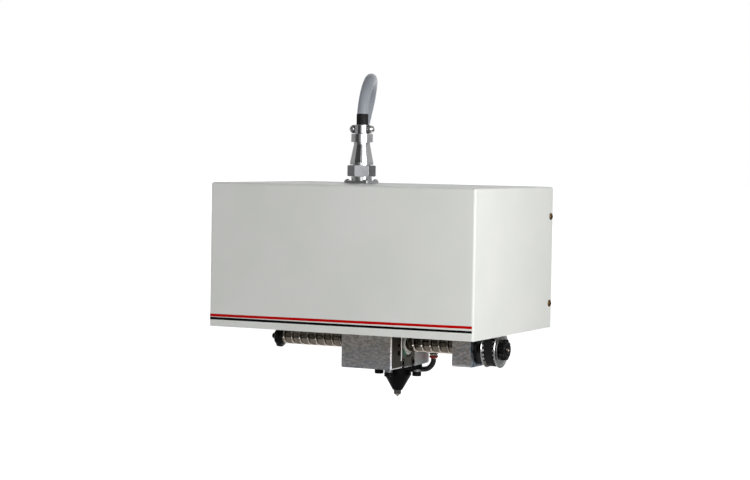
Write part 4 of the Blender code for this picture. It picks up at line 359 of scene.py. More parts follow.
def block_face(name, painted_side_tones, painted_teal_reflection=False):
    """Fine-ground aluminium: browner at the top and cooler below, a soft grain, and faces towards +X in their
    own tones: painted shade on the front and nut blocks, painted light on the bearing block.

    A teal painted reflection lies on the bearing block's face towards +X, round its seal.
    """
    material, tree, shader = finish(name, Metallic=1.0)
    place, grain = object_place(tree), noise(tree, 1.923, 4, (0.5, 1, 1), 0.75)
    drift = ("RANGE", noise(tree, 11.11, 5, (0.6, 1, 1.4), 0.7), *MIDDLE, -0.5, 0.5)
    share = ("RANGE", ("ADD", ("RANGE", place["Z"], *BLOCK_LOW_AND_HIGH, 1, 0), drift), 0, 1, 0, 1)
    # Faces towards +X take the side tones: painted shade on the front and nut blocks, painted light on the
    # bearing block
    facing = put(tree, "ShaderNodeSeparateXYZ", {"Vector": put(tree, "ShaderNodeNewGeometry")["Normal"]})["X"]
    painted_side_face = laid_over(tree, painted_side_tones[0], (grain, painted_side_tones[1]))
    layers = [(share, "9FA4AF"), (("RANGE", grain, 0.38, 0.66, 0, 1), "E2DEDA"),
              (("GREATER_THAN", facing, 0.95), painted_side_face)]
    if painted_teal_reflection:
        # Teal painted reflection on the bearing block's face towards +X, round its seal
        teal_reflection_patch = ("RANGE", noise(tree, 14.3, 5, rough=0.65), 0.44, 0.56, 0, 1)
        layers.append((("MULTIPLY", ("RANGE", place["X"], *TEAL_REFLECTION_X, 0, 1), teal_reflection_patch), "14648C"))
    dress(tree, shader, laid_over(tree, "A89D92", *layers), grain, (0.34, 0.50), grain, 0.12, 0.0001)
    return material


def ball_track():
    """Ground screw steel: plain lands, a painted glint along each groove's left wall, a painted shade line
    along its right wall, and blackened ends.
    """
    material, tree, shader = finish("ground_screw_steel", Metallic=1.0)
    film = ("RANGE", noise(tree, 4.167, 4), *MIDDLE, 0, 1)
    along = object_place(tree)["X"]
    track = put(tree, "ShaderNodeAttribute", attribute_name="track")["Fac"]
    ends = ("ADD", ("LESS_THAN", along, STUB_BLACK_TO), ("GREATER_THAN", along, NOSE_BLACK_FROM))
    black = ("MULTIPLY", ends, ("GREATER_THAN", screw_reach(tree), DRILL_RADIUS))
    # Painted glint on each groove's left wall and a painted shade line on its right wall
    colour = laid_over(tree, "9A9084", (film, "7D7468"), (between(track, *TRACK_PAINTED_GLINT_SHARES), "CBC4BA"),
                       (between(track, *TRACK_PAINTED_SHADE_SHARES), "16130F"), (black, "3C3C3F"))
    wear, scratches = noise(tree, 2, 3, (0.5, 2, 2)), noise(tree, 0.667, 2, (0.4, 1, 1))
    dress(tree, shader, colour, wear, (0.09, 0.16), scratches, 0.02, 0.0001)
    return material


def turned_aluminium():
    """Lathe-turned aluminium: bright, with rings round the screw's axis, painted shade between its teeth and
    a painted highlight on their tips.
    """
    material, tree, shader = finish("turned_aluminium", Metallic=1.0)
    reach = screw_reach(tree)
    rings, broad = [put(tree, "ShaderNodeTexNoise", {"W": reach, "Scale": 1000 / cell, "Detail": detail},
                        noise_dimensions="1D")["Fac"] for cell, detail in ((0.625, 2), (3.846, 1))]
    width = (TOOTH_MIDDLE - TOOTH_HALF_WIDTH, TOOTH_MIDDLE + TOOTH_HALF_WIDTH)
    teeth = solved(tree, between(object_place(tree)["X"], *width))
    painted_gap_shade = solved(tree, ("MULTIPLY", teeth, ("LESS_THAN", reach, TOOTH_PAINTED_SHADE_RADIUS)))
    painted_highlight_tips = solved(tree, ("SUBTRACT", teeth, painted_gap_shade))
    # Painted shade in the gaps between the teeth and a painted highlight on the tips
    colour = laid_over(tree, "A5A4A2", (("RANGE", broad, *MIDDLE, 0, 1), "DADBDE"), (painted_gap_shade, "141311"),
                       (painted_highlight_tips, "FBF8F2"))
    dress(tree, shader, colour, rings, (0.20, 0.36), rings, 0.25, 0.0001)
    ringed = shader.inputs["Roughness"].links[0].from_socket
    rough = solved(tree, ("MULTIPLY_ADD", painted_highlight_tips, TOOTH_TIP_ROUGHER, ringed))
    tree.links.new(rough, shader.inputs["Roughness"])
    return material


def fitting_finish():
    """Push-in air fitting: a black body, and below it the plated ring that grips the tube."""
    material, tree, shader = finish("fitting_plate_and_black")
    ring = solved(tree, ("LESS_THAN", object_place(tree)["Z"], FITTING_RING_TOP))
    film = noise(tree, 2.5, 3)
    plate = laid_over(tree, "C2B9A6", (film, "D4CDBD"))
    tree.links.new(ring, shader.inputs["Metallic"])
    colour = laid_over(tree, "161617", (ring, plate))
    dress(tree, shader, colour, film, (0.22, 0.40), noise(tree, 0.667), 0.06, 0.0001)
    return material


def stepper_finish(name, axis, black):
    """Stepper motor: cast aluminium end caps with black laminations between them, as fine lines."""
    material, tree, shader = finish(name, Metallic=1.0)
    cast = laid_over(tree, "A4A6A8", (noise(tree, 5, 4), "8E9092"))
    colour = laid_over(tree, cast, (between(object_place(tree)[axis], *black), "121214"))
    lines = noise(tree, 2, 1, {"X": (6, 0.2, 0.2), "Y": (0.2, 6, 0.2)}[axis])
    dress(tree, shader, colour, lines, (0.38, 0.56), lines, 0.2, 0.0003)
    return material


# Each finish's cloud, wear and grain are noises: the size of their cells in millimetres, detail and stretch.
# Grit, weaves and turning lines are too fine to show, so they are drawn as coarse as 0.3 to 3 mm.
LOOKS = {
    # Light grey powder coat: even and matt, with an orange peel that softens the lamps
    "powder_coat": surface("powder_coat", "E6E8E3", "ECEDE9", (71.4, 3), (25, 4), (0.36, 0.48), (1.111, 2),
                           (0.10, 0.0002), Coat_Weight=0.12, Coat_Roughness=0.25),
    # Bead-blasted aluminium under clear anodising: satin, with a fine sparkle
    "clear_anodised": surface("clear_anodised", "BDBFC1", "CCCED0", (33.3, 4), (8.33, 5), (0.34, 0.46),
                              (0.4, 2), (0.06, 0.0001), Metallic=1.0),
    "milled_x": milled_aluminium("milled_across", (0.05, 1, 1), "DEDCD8", "DADDE2", "F2F2F2"),
    "milled_z": milled_aluminium("milled_upright", (1, 1, 0.06), "98938C", "8E939B", "B9BABB"),
    # The second values are the tones of each block's face towards +X: painted shade on the front and nut
    # blocks, painted light on the bearing block
    "front_block": block_face("ground_aluminium", ("524E48", "67625B")),
    "nut_block": block_face("ground_aluminium_block", ("6A6861", "7D7B74")),
    "painted_reflection_block": block_face("ground_aluminium_painted_reflection", ("B2B6BB", "D2D6DA"), painted_teal_reflection=True),
    "turned_aluminium": turned_aluminium(),
    "ball_track": ball_track(),
    "air_fitting": fitting_finish(),
    "x_motor": stepper_finish("x_stepper", "X", X_MOTOR_BLACK),
    "y_motor": stepper_finish("y_stepper", "Y", Y_MOTOR_BLACK),
    # Matt black anodised aluminium: soft grey highlights broken by faint turning lines
    "black_anodised": surface("black_anodised", "080809", "0F0F11", (16.7, 3), (1.11, 2, (0.15, 0.15, 2.2)),
                              (0.32, 0.46), (1.11, 2, (0.15, 0.15, 2.2)), (0.10, 0.0001),
                              Specular_IOR_Level=0.07),
    # Matt black belt and sleeve rubber: dull, with a cloth weave
    "rubber": surface("belt_rubber", "0A0A0B", "141415", (0.455, 1), (3.33, 3), (0.62, 0.80), (0.455, 1),
                      (0.20, 0.0002), Specular_IOR_Level=0.35),
    # Smooth grey PVC jacket: a soft sheen along the cord
    "cord": surface("cord_jacket", "9CA1AA", "AAAFB7", (25, 3), (5, 3), (0.24, 0.36), (1.11, 2),
                    (0.04, 0.0001), Specular_IOR_Level=0.14),
    # Black oxide worn towards bare steel: the screw's face glints in spots
    "socket_face": surface("worn_black_oxide", "74716B", "979389", (2, 4), (1.43, 3), (0.28, 0.45),
                           (0.455, 2), (0.08, 0.0001), Metallic=0.9, Specular_IOR_Level=0.4),
    # Bronze-brown chromate on screw heads: dark brown with gold edges
    "bronzed": surface("bronze_chromate", "4A3A22", "7A6440", (1.43, 4), (1.11, 3), (0.26, 0.42),
                       Metallic=1.0),
    # Bright zinc plate on screws and washers: cool and shiny
    "zinc": surface("zinc_plate", "A9AAAC", "C6C7C8", (2, 4), (1.25, 3), (0.20, 0.36), (0.4, 2),
                    (0.05, 0.0001), Metallic=1.0),
    # Black hook-and-loop strap: a fuzzy pile that takes the light softly
    "strap": surface("hook_and_loop_strap", "0E0E0F", "232324", (0.286, 2), (0.286, 2), (0.7, 0.95),
                     (0.286, 2), (0.5, 0.0004), Specular_IOR_Level=0.3, Sheen_Weight=0.35,
                     Sheen_Roughness=0.5),
}
# Ground and oiled bearing steel: grey-brown, with the grinding lines along each piece
for look, name, stretch, tone, rough in (
        ("rail_x", "ground_rail_x", (0.03, 1, 1), "8C8A86", (0.16, 0.34)),
        ("rail_y", "ground_rail_y", (1, 0.03, 1), "8C8A86", (0.16, 0.34)),
        ("turned", "turned_steel", (2.0, 0.2, 0.2), "8C8A86", (0.16, 0.34)),
        ("polished", "polished_steel", (1, 1, 0.2), "A5A4A1", (0.10, 0.20))):
    LOOKS[look] = surface(name, tone, "77736C", (16.7, 4), (1.43, 2, stretch), rough, (1.43, 2, stretch),
                          (0.08, 0.0001), Metallic=1.0)
# Black oxide on steel, a little oily or quite dry: near black, browned in places
for look, name, specular in (("black_oxide", "black_oxide", 0.12), ("dry_black", "dry_black_oxide", 0.02)):
    LOOKS[look] = surface(name, "09090B", "151312", (11.1, 4), (3.85, 4), (0.30, 0.48), (0.556, 2),
                          (0.08, 0.0001), Specular_IOR_Level=specular)
# Moulded plastic: even, with a fine grain from the mould
for look, name, first, second, rough in (
        ("black_plastic", "black_nylon", "09090A", "111112", (0.38, 0.52)),
        ("white_plastic", "white_acetal", "DCDCD6", "E6E6E1", (0.38, 0.52)),
        ("red_plastic", "red_acetal", "8E1414", "A81C1A", (0.25, 0.38)),
        ("green_plastic", "green_acetal", "1F6B4A", "2A7A57", (0.30, 0.42))):
    LOOKS[look] = surface(name, first, second, (8.33, 3), (3.33, 3), rough, (0.625, 2), (0.06, 0.0001))
# Nickel plate, fresh or dulled by hands: mirrors the studio, with faint turning lines
for look, name, first, second, rough in (
        ("nickel", "nickel_plate", "BFBFC2", "D2D2D3", (0.09, 0.17)),
        ("handled_nickel", "handled_nickel_plate", "8C8D90", "A2A3A6", (0.16, 0.28))):
    LOOKS[look] = surface(name, first, second, (20, 3), (1.67, 2, (0.2, 0.2, 2.5)), rough,
                          (1.67, 2, (0.2, 0.2, 2.5)), (0.03, 0.0001), Metallic=1.0)
# Screen-printed stripe enamel: flat colour with a slight orange peel
for look, name, first, second in (("red_paint", "red_stripe_paint", "BE0202", "C80606"),
                                  ("black_paint", "black_stripe_paint", "060606", "0C0C0D")):
    LOOKS[look] = surface(name, first, second, (16.7, 3), (11.1, 3), (0.40, 0.50), (1.11, 2), (0.06, 0.0001),
                          Specular_IOR_Level=0.08)
NODE_LOOKS = {
    "powder_coat": ("cover",),
    "clear_anodised": ("back_plate", "frame_plate", "gusset_left", "gusset_right", "saddle_plate",
                       "hanger_left", "hanger_right", "x_beam", "y_bearing_block", "y_nut_bracket",
                       "y_coupling", "carriage_plate"),
    "turned_aluminium": ("screw_pulley", "motor_pulley"),
    "front_block": ("front_block",),
    "nut_block": ("nut_block",),
    "milled_x": ("stylus_block",),
    "milled_z": ("y_motor_bracket", "x_motor_bracket"),
    "painted_reflection_block": ("x_bearing_block",),
    "rail_x": ("x_rail_front", "x_rail_back", "x_slider_front", "x_slider_back"),
    "rail_y": ("y_rail_left", "y_rail_right", "y_slider_left", "y_slider_right"),
    "turned": ("x_bearing", "x_motor_shaft", "ball_nut", "y_nut", "x_screw", "y_screw"),
    "polished": ("piston_rod", "stylus_tip", "return_spring"),
    # The bearing seal is black, partly as a real seal and partly as painted shade in the gap between the
    # bearing block and the pulley
    "black_oxide": ("stop_ring", "lock_nut", "bearing_seal"),
    "black_anodised": ("stylus_flange", "nose_cone"),
    "rubber": ("drive_belt", "cord_sleeve"),
    "black_plastic": ("valve_body", "air_tube"),
    "white_plastic": ("wiper_ring",),
    "red_plastic": ("fitting_collar",),
    "nickel": ("connector_socket", "plug_shell", "cord_clamp", "far_plug"),
    "handled_nickel": ("coupling_nut",),
    "air_fitting": ("air_fitting",),
    "x_motor": ("x_motor",),
    "y_motor": ("y_motor",),
}
for look, names in NODE_LOOKS.items():
    for name in names:
        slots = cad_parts[name].data.materials
        slots.clear()
        slots.append(LOOKS[look])


def linked(name, data):
    """A new object in the scene."""
    obj = bpy.data.objects.new(name, data)
    bpy.context.scene.collection.objects.link(obj)
    return obj


def place_camera():
    """Put the camera where the photograph was taken from."""
    a, e, r = CAMERA_AZIMUTH, CAMERA_ELEVATION, CAMERA_ROLL
    back = Vector((math.sin(a) * math.cos(e), -math.cos(a) * math.cos(e), math.sin(e)))
    right = (-back).cross(Vector((0, 0, 1))).normalized()
    up = right.cross(-back)
    turned_right = math.cos(r) * right + math.sin(r) * up
    turned_up = -math.sin(r) * right + math.cos(r) * up
    data = bpy.data.cameras.new("camera")
    data.lens = CAMERA_LENS
    data.sensor_width = CAMERA_SENSOR
    camera = linked("camera", data)
    camera.matrix_world = Matrix.Translation(CAMERA_PLACE) @ Matrix(
        (turned_right, turned_up, back)).transposed().to_4x4()
    bpy.context.scene.camera = camera


def rider(name, data, body, slot, look, *replaced):
    """A finished mesh or curve in the scene, which rides on a body and may take the place of some nodes."""
    obj = linked(name, data)
    data.materials.clear()
    data.materials.append(LOOKS[look])
    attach(obj, body)
    if replaced:
        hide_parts(*replaced)
    return obj


def mesh_of(name, bm):
    """A smooth mesh with sharp edges from a shape, which is freed."""
    bmesh.ops.recalc_face_normals(bm, faces=bm.faces)
    data = bpy.data.meshes.new(name)
    bm.to_mesh(data)
    bm.free()
    data.shade_smooth()
    data.set_sharp_from_angle(angle=SHARP)
    return data


def spun(profile, steps=FINE):
    """A solid of revolution about Z from (radius, height) points; a third value gives that many flats."""
    bm = bmesh.new()
    rings = []
    for radius, height, *flats in profile:
        ring = []
        for step in range(steps if radius else 1):
            angle = math.tau * step / steps
            side = math.tau / flats[0] if flats else 0
            reach = radius / math.cos(angle % side - side / 2) if side else radius
            ring.append(bm.verts.new((reach * math.cos(angle), reach * math.sin(angle), height)))
        rings.append(ring)
    for lower, upper in zip(rings, rings[1:]):
        for step in range(steps):
            after = (step + 1) % steps
            corners = (lower[step % len(lower)], lower[after % len(lower)],
                       upper[after % len(upper)], upper[step % len(upper)])
            bm.faces.new(list(dict.fromkeys(corners)))
    bmesh.ops.remove_doubles(bm, verts=bm.verts, dist=1e-7)
    return bm


def node_group(name, inputs):
    """An empty Geometry Nodes tree with one mesh coming out, and its named inputs."""
    tree = bpy.data.node_groups.new(name, "GeometryNodeTree")
    for label, kind in inputs.items():
        tree.interface.new_socket(label, in_out="INPUT", socket_type="NodeSocket" + kind)
    tree.interface.new_socket("Result", in_out="OUTPUT", socket_type="NodeSocketGeometry")
    return tree, put(tree, "NodeGroupInput")


def end_group(tree, geometry, material):
    """End a tree with real geometry in its finish."""
    real = put(tree, "GeometryNodeRealizeInstances", {"Geometry": geometry})[0]
    dressed = put(tree, "GeometryNodeSetMaterial", {"Geometry": real, "Material": material})[0]
    put(tree, "NodeGroupOutput", {"Result": dressed})
    return tree


def made_mesh(name, start, tree, values):
    """The plain mesh that a tree makes of a starting mesh; values go in by the sockets' identifiers."""
    obj = linked(name, start)
    modifier = obj.modifiers.new(tree.name, "NODES")
    modifier.node_group = tree
    for item in tree.interface.items_tree:
        if item.in_out == "INPUT" and item.name in values:
            modifier[item.identifier] = values[item.name]
    graph = bpy.context.evaluated_depsgraph_get()
    data = bpy.data.meshes.new_from_object(obj.evaluated_get(graph))
    obj.modifiers.clear()
    bpy.data.objects.remove(obj)
    return data


def copies_tree():
    """Sets a copy of a piece on every point, turned as the point's own attribute says."""
    inputs = {"Points": "Geometry", "Piece": "Object", "Finish": "Material"}
    tree, given = node_group("copies_on_points", inputs)
    piece = put(tree, "GeometryNodeObjectInfo", {"Object": given["Piece"]})["Geometry"]
    turn = put(tree, "GeometryNodeInputNamedAttribute", {"Name": "turn"}, data_type="FLOAT_VECTOR")
    rotation = put(tree, "FunctionNodeEulerToRotation", {"Euler": turn["Attribute"]})[0]
    set_out = put(tree, "GeometryNodeInstanceOnPoints", {"Points": given["Points"], "Instance": piece,
                                                         "Rotation": rotation})[0]
    return end_group(tree, set_out, given["Finish"])


COPIES = copies_tree()


def copies(name, bm, places, body, slot, look):
    """One object of many copies of a piece: each place is a point and the way the piece's top faces."""
    piece = linked(name + "_piece", mesh_of(name + "_piece", bm))
    points = bpy.data.meshes.new(name + "_points")
    points.from_pydata([point for point, up in places], [], [])
    turns = points.attributes.new("turn", "FLOAT_VECTOR", "POINT")
    for value, (point, up) in zip(turns.data, places):
        value.vector = Vector(up).to_track_quat("Z", "Y").to_euler()
    data = made_mesh(name, points, COPIES, {"Piece": piece, "Finish": LOOKS[look]})
    bpy.data.objects.remove(piece)
    return rider(name, data, body, slot, look)


def thread_tree():
    """Winds a flat grid into a ball screw's thread about X: a round groove between plain lands."""
    numbers = ("Turns", "Lead", "Radius", "Groove Width", "Groove Depth", "Start", "End")
    tree, given = node_group("ball_thread", {"Grid": "Geometry", **dict.fromkeys(numbers, "Float"),
                                             "Finish": "Material"})
    turns, lead, outside, width, depth, start, end = [given[label] for label in numbers]
    place = put(tree, "ShaderNodeSeparateXYZ", {"Vector": put(tree, "GeometryNodeInputPosition")[0]})
    turn = solved(tree, ("MULTIPLY", place["X"], turns))
    across = solved(tree, ("SUBTRACT", place["Y"], 0.5))
    angle = solved(tree, ("MULTIPLY", turn, math.tau))
    climb = ("ADD", ("MULTIPLY", ("ADD", turn, across), lead), start)
    half = ("MULTIPLY", width, 0.5)
    squares = ("ADD", ("POWER", half, 2.0), ("POWER", depth, 2.0))
    arc = solved(tree, ("DIVIDE", squares, ("MULTIPLY", depth, 2.0)))
    aside = solved(tree, ("MULTIPLY", across, lead))
    level = solved(tree, ("SUBTRACT", arc, depth))
    height = ("SUBTRACT", ("POWER", arc, 2.0), ("MULTIPLY", aside, aside))
    reach = ("SQRT", ("MAXIMUM", height, ("POWER", level, 2.0)))
    radius = solved(tree, ("SUBTRACT", outside, ("SUBTRACT", reach, level)))
    wound = put(tree, "ShaderNodeCombineXYZ", {"X": ("MINIMUM", ("MAXIMUM", climb, start), end),
                                               "Y": ("MULTIPLY", radius, ("COSINE", angle)),
                                               "Z": ("MULTIPLY", radius, ("SINE", angle))})[0]
    from_land = ("MULTIPLY", ("SIGN", across), ("SUBTRACT", 0.5, ("ABSOLUTE", across)))
    track = {"Geometry": given["Grid"], "Name": "track", "Value": from_land}
    marked = put(tree, "GeometryNodeStoreNamedAttribute", track, data_type="FLOAT", domain="POINT")[0]
    moved = put(tree, "GeometryNodeSetPosition", {"Geometry": marked, "Position": wound})[0]
    welded = put(tree, "GeometryNodeMergeByDistance", {"Geometry": moved, "Distance": 1e-6})[0]
    return end_group(tree, welded, given["Finish"])


def coil_points():
    """The coil's centre line: in to the middle at a steady rate, up a layer, and out again."""
    total = COIL_TURNS + COIL_START / math.tau
    count = round(total * COIL_POINTS)
    points = []
    for index in range(count + 1):
        turn = total * index / count
        angle = COIL_START - math.tau * turn
        radius = COIL_RADIUS - COIL_STEP * min(turn, total - turn)
        climb = min(max((turn - total / 2) / COIL_CLIMB_TURNS + 0.5, 0.0), 1.0)
        layer = COIL_LAYER * climb * climb * (3 - 2 * climb)
        x, z = COIL_CENTRE[0] + radius * math.cos(angle), COIL_CENTRE[2] + radius * math.sin(angle)
        points.append(Vector((x, COIL_CENTRE[1] + layer, z)))
    return points


def make_cord():
    """The whole cord as one curve, from the plug on the cover to the plug at its far end."""
    coil = coil_points()
    run = (coil[-1] - coil[-2]).normalized()
    entry = coil[0] + (coil[0] - coil[1]).normalized() * CORD_DIAMETER
    points = [Vector(p) for p in CORD_ROUTE] + [entry] + coil + [coil[-1] + run * COIL_END_RUN]
    curve = bpy.data.curves.new("control_cord", "CURVE")
    curve.dimensions = "3D"
    curve.resolution_u = 4
    curve.bevel_depth = CORD_DIAMETER / 2
    curve.bevel_resolution = 6
    curve.use_fill_caps = True
    spline = curve.splines.new("NURBS")
    spline.points.add(len(points) - 1)
    for target, point in zip(spline.points, points):
        target.co = (*point, 1.0)
    spline.order_u = 4
    spline.use_endpoint_u = True
    cord = rider("control_cord", curve, "head", "grey_pvc", "cord", "cord_lead", "cord_coil")
    make_ties()
    make_plug_pins()


def thread_mesh(name, lead, radius, groove, depth, start, end, steps, rows):
    """A ball screw's grooved stretch along X between two places, about the X axis."""
    turns = math.ceil((end - start) / lead) + 2
    columns = turns * steps
    edge = groove / lead / 2
    shares = [0, (0.5 - edge) / 2] + [0.5 - edge * math.cos(math.pi * row / rows) for row in range(rows + 1)]
    shares += [(1.5 + edge) / 2, 1]
    grid = bpy.data.meshes.new(name + "_grid")
    verts = [(column / columns - 1 / turns, share, 0) for column in range(columns + 1) for share in shares]
    wide = len(shares)
    faces = [(c * wide + r, (c + 1) * wide + r, (c + 1) * wide + r + 1, c * wide + r + 1)
             for c in range(columns) for r in range(wide - 1)]
    grid.from_pydata(verts, [], faces)
    return made_mesh(name, grid, thread_tree(), {
        "Turns": turns, "Lead": lead, "Radius": radius, "Groove Width": groove, "Groove Depth": depth,
        "Start": start, "End": end, "Finish": LOOKS["ball_track"]})


def add_shape(whole, shape):
    """Put a shape's faces into another, and free it."""
    part = bpy.data.meshes.new("part")
    shape.to_mesh(part)
    shape.free()
    whole.from_mesh(part)
    bpy.data.meshes.remove(part)


def joined(name, shapes, place=(0, 0, 0), turn=(0, 0, 0), thread=None):
    """One mesh of a thread and some spun shapes, the shapes turned from Z to X, all set at a place."""
    bm = bmesh.new()
    if thread is not None:
        bm.from_mesh(thread)
    for shape in shapes:
        shape.transform(Matrix.Rotation(math.pi / 2, 4, "Y"))
        add_shape(bm, shape)
    bm.transform(Matrix.Translation(place) @ Euler(turn).to_matrix().to_4x4())
    return mesh_of(name, bm)


def make_x_screw():
    """The long ball screw with its journals and centre-drilled nose, cut from one bar."""
    low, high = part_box("x_screw")
    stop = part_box("stop_ring")[1].x + SEAT_GAP
    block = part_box("x_bearing_block")[0].x - SEAT_GAP
    nut_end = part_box("lock_nut")[1].x
    thread = thread_mesh("x_thread", X_LEAD, X_RADIUS, X_GROOVE, X_GROOVE_DEPTH, stop, block, FINE,
                         X_GROOVE_ROWS)
    core = X_RADIUS - X_GROOVE_DEPTH * 0.5
    stub, journal, shaft, tip = 0.00335, 0.0050, 0.0060, 0.0042
    tail = spun([(0, low.x), (stub - 0.0008, low.x), (stub, low.x + 0.0008), (stub, stop - 0.0072),
                 (journal, stop - 0.0070), (journal, stop), (core, stop), (core, stop + 0.0006),
                 (0, stop + 0.0006)])
    nose = spun([(0, block - 0.0006), (core, block - 0.0006), (core, block), (shaft, block),
                 (shaft, block + 0.0248), (journal, block + 0.0250), (journal, nut_end), (tip, nut_end),
                 (tip, high.x - 0.0006), (tip - 0.0006, high.x), (0.0017, high.x), (0.0012, high.x - 0.0009),
                 (0, high.x - 0.0014)])
    data = joined("x_screw_fine", (tail, nose), (0, SCREW_Y, SCREW_Z), thread=thread)
    rider("x_ball_screw", data, "x_drive", "ground_steel", "ball_track", "x_screw")


def make_y_screw():
    """The short ball screw that drives the saddle."""
    low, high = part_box("y_screw")
    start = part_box("y_bearing_block")[1].y + 0.006
    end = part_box("y_coupling")[0].y - 0.001
    thread = thread_mesh("y_thread", Y_LEAD, Y_RADIUS, Y_GROOVE, Y_GROOVE_DEPTH, start, end, ROUND,
                         Y_GROOVE_ROWS)
    core, shaft = Y_RADIUS - Y_GROOVE_DEPTH * 0.5, 0.0040
    journal = spun([(0, low.y), (shaft - 0.0006, low.y), (shaft, low.y + 0.0006), (shaft, start),
                    (core, start), (core, end), (shaft, end), (shaft, high.y), (0, high.y)], ROUND)
    data = joined("y_screw_fine", (journal,), (0, 0, Y_SCREW_Z), (0, 0, math.pi / 2), thread)
    rider("y_ball_screw", data, "y_drive", "ground_steel", "ball_track", "y_screw")


def notch(shape, radius, band, count, depth, below=math.inf):
    """Press notches into the outer band of a spun shape."""
    for vert in shape.verts:
        if math.hypot(vert.co.x, vert.co.y) > radius - band and vert.co.z < below:
            wave = math.cos(math.atan2(vert.co.y, vert.co.x) * count)
            vert.co.xy *= 1 - depth / radius * min(max(0.5 + wave, 0), 1)


def make_stop_ring():
    """Black end ring of the screw: notched rim on the left, stepped cone and lip towards the thread."""
    low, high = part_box("stop_ring")
    radius, bore, left, right = (high.z - low.z) / 2, JOURNAL_BORE, low.x, high.x
    ring = spun([(bore, left), (radius - 0.0026, left), (radius - 0.0006, left + 0.0006),
                 (radius, left + 0.0012), (radius, right - 0.0020), (radius - 0.0006, right - 0.0010),
                 (radius - 0.0020, right - 0.0004), (radius - 0.0024, right + 0.0010),
                 (radius - 0.0032, right + 0.0018), (X_RADIUS + 0.0004, right + 0.0026),
                 (X_RADIUS - 0.0008, right + 0.0026), (bore, left)], RING_NOTCHES * 12)
    notch(ring, radius, RING_NOTCH_BAND, RING_NOTCHES, RING_NOTCH_DEPTH, left + 0.0020)
    data = joined("end_ring", (ring,), (0, SCREW_Y, SCREW_Z))
    rider("end_ring", data, "x_drive", "black_oxide", "black_oxide", "stop_ring")


def make_lock_nut():
    """Round lock nut with ten coarse lobes round its edge and a recess in its outer face."""
    low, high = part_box("lock_nut")
    radius, bore, near, far = LOCK_NUT_RADIUS, JOURNAL_BORE, low.x, high.x + 0.0010
    nut = spun([(bore, near), (radius - 0.0030, near), (radius - 0.0005, near + 0.0005),
                (radius, near + 0.0010), (radius, far - 0.0014), (radius - 0.0005, far - 0.0010),
                (radius - 0.0030, far), (bore + 0.0016, far), (bore + 0.0012, far - 0.0005),
                (bore, far - 0.0005), (bore, near)], LOCK_NUT_LOBES * 8)
    notch(nut, radius, LOCK_NUT_BAND, LOCK_NUT_LOBES, LOCK_NUT_LOBE_DEPTH)
    data = joined("serrated_lock_nut", (nut,), (0, SCREW_Y, SCREW_Z))
    rider("serrated_lock_nut", data, "x_drive", "black_oxide", "black_oxide", "lock_nut")


def make_pulley(name, node, teeth, bore, axis_z, body):
    """A toothed pulley with rolled flanges and a stepped outer face, turned from aluminium."""
    low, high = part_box(node)
    tip = teeth * TOOTH_PITCH / math.tau - TIP_DROP
    rim, thick, near, face = (high.z - low.z) / 2, PULLEY_FLANGE, low.x, high.x
    pitch = math.tau / teeth
    outline = []
    for tooth in range(teeth):
        for share, radius in ((-MOUTH_SHARE, tip), (-FLOOR_SHARE, tip - TOOTH_DEPTH),
                              (FLOOR_SHARE, tip - TOOTH_DEPTH), (MOUTH_SHARE, tip)):
            angle = (tooth + share / 2) * pitch
            outline.append((radius * math.cos(angle), radius * math.sin(angle)))
    core = bmesh.new()
    sunk = thick * 0.6
    closed_bands(core, [[core.verts.new((x, y, height)) for x, y in outline]
                        for height in (near + sunk, face - sunk)])
    ease = thick * PULLEY_FLANGE_EASE_SHARE
    inner = spun([(bore, near + 0.0004), (rim * 0.55, near + 0.0004), (rim * 0.58, near), (rim - ease, near),
                  (rim, near + ease), (rim, near + thick - ease), (rim - ease, near + thick),
                  (tip - TOOTH_DEPTH, near + thick), (bore, near + thick), (bore, near + 0.0004)], FINE * 2)
    outer = spun([(bore, face - thick), (rim - ease, face - thick), (rim, face - thick + ease),
                  (rim, face - ease), (rim - ease, face), (rim * 0.86, face), (rim * 0.83, face - 0.0005),
                  (rim * 0.68, face - 0.0005), (rim * 0.65, face - 0.0001), (bore, face - 0.0001),
                  (bore, face - thick)], FINE * 2)
    data = joined(name, (core, inner, outer), (0, SCREW_Y, axis_z))
    rider(name, data, body, "clear_aluminium", "turned_aluminium", node)


def make_cord_clamp():
    """The clamp's band round the cord's sleeve, with a rounded ear for a screw at each side."""
    low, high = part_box("cord_clamp")
    middle, half = (low + high) / 2, (high.z - low.z) / 2
    band, bore, deep, ease = CLAMP_BAND_RADIUS, CLAMP_BORE, CLAMP_EAR_DEPTH, CLAMP_BAND_EASE
    whole = spun([(bore, -half), (band - ease, -half), (band, -half + ease), (band, half - ease),
                  (band - ease, half), (bore, half), (bore, -half)])
    radius, ease = half - 0.0002, CLAMP_EAR_EASE
    for sign in (-1, 1):
        ear = spun([(0, 0), (radius - ease, 0), (radius, ease), (radius, deep - ease), (radius - ease, deep),
                    (0, deep)])
        ear.transform(Matrix.Rotation(math.pi / 2, 4, "X"))
        ear.transform(Matrix.Translation((sign * ((high.x - low.x) / 2 - radius), deep / 2, 0)))
        for vert in ear.verts:
            vert.co.x = sign * max(sign * vert.co.x, bore + 0.0002)
        add_shape(whole, ear)
    whole.transform(Matrix.Translation((CONNECTOR_X, CONNECTOR_Y, middle.z)))
    data = mesh_of("eared_cord_clamp", whole)
    rider("eared_cord_clamp", data, "head", "nickel_plate", "nickel", "cord_clamp")


def closed_bands(bm, rings, ends=False):
    """Faces from each outline to the next, and over the first and last where the ends are closed."""
    for near, far in zip(rings, rings[1:]):
        for index in range(len(near)):
            after = (index + 1) % len(near)
            bm.faces.new((near[index], near[after], far[after], far[index]))
    if ends:
        bm.faces.new(rings[0])
        bm.faces.new(rings[-1])


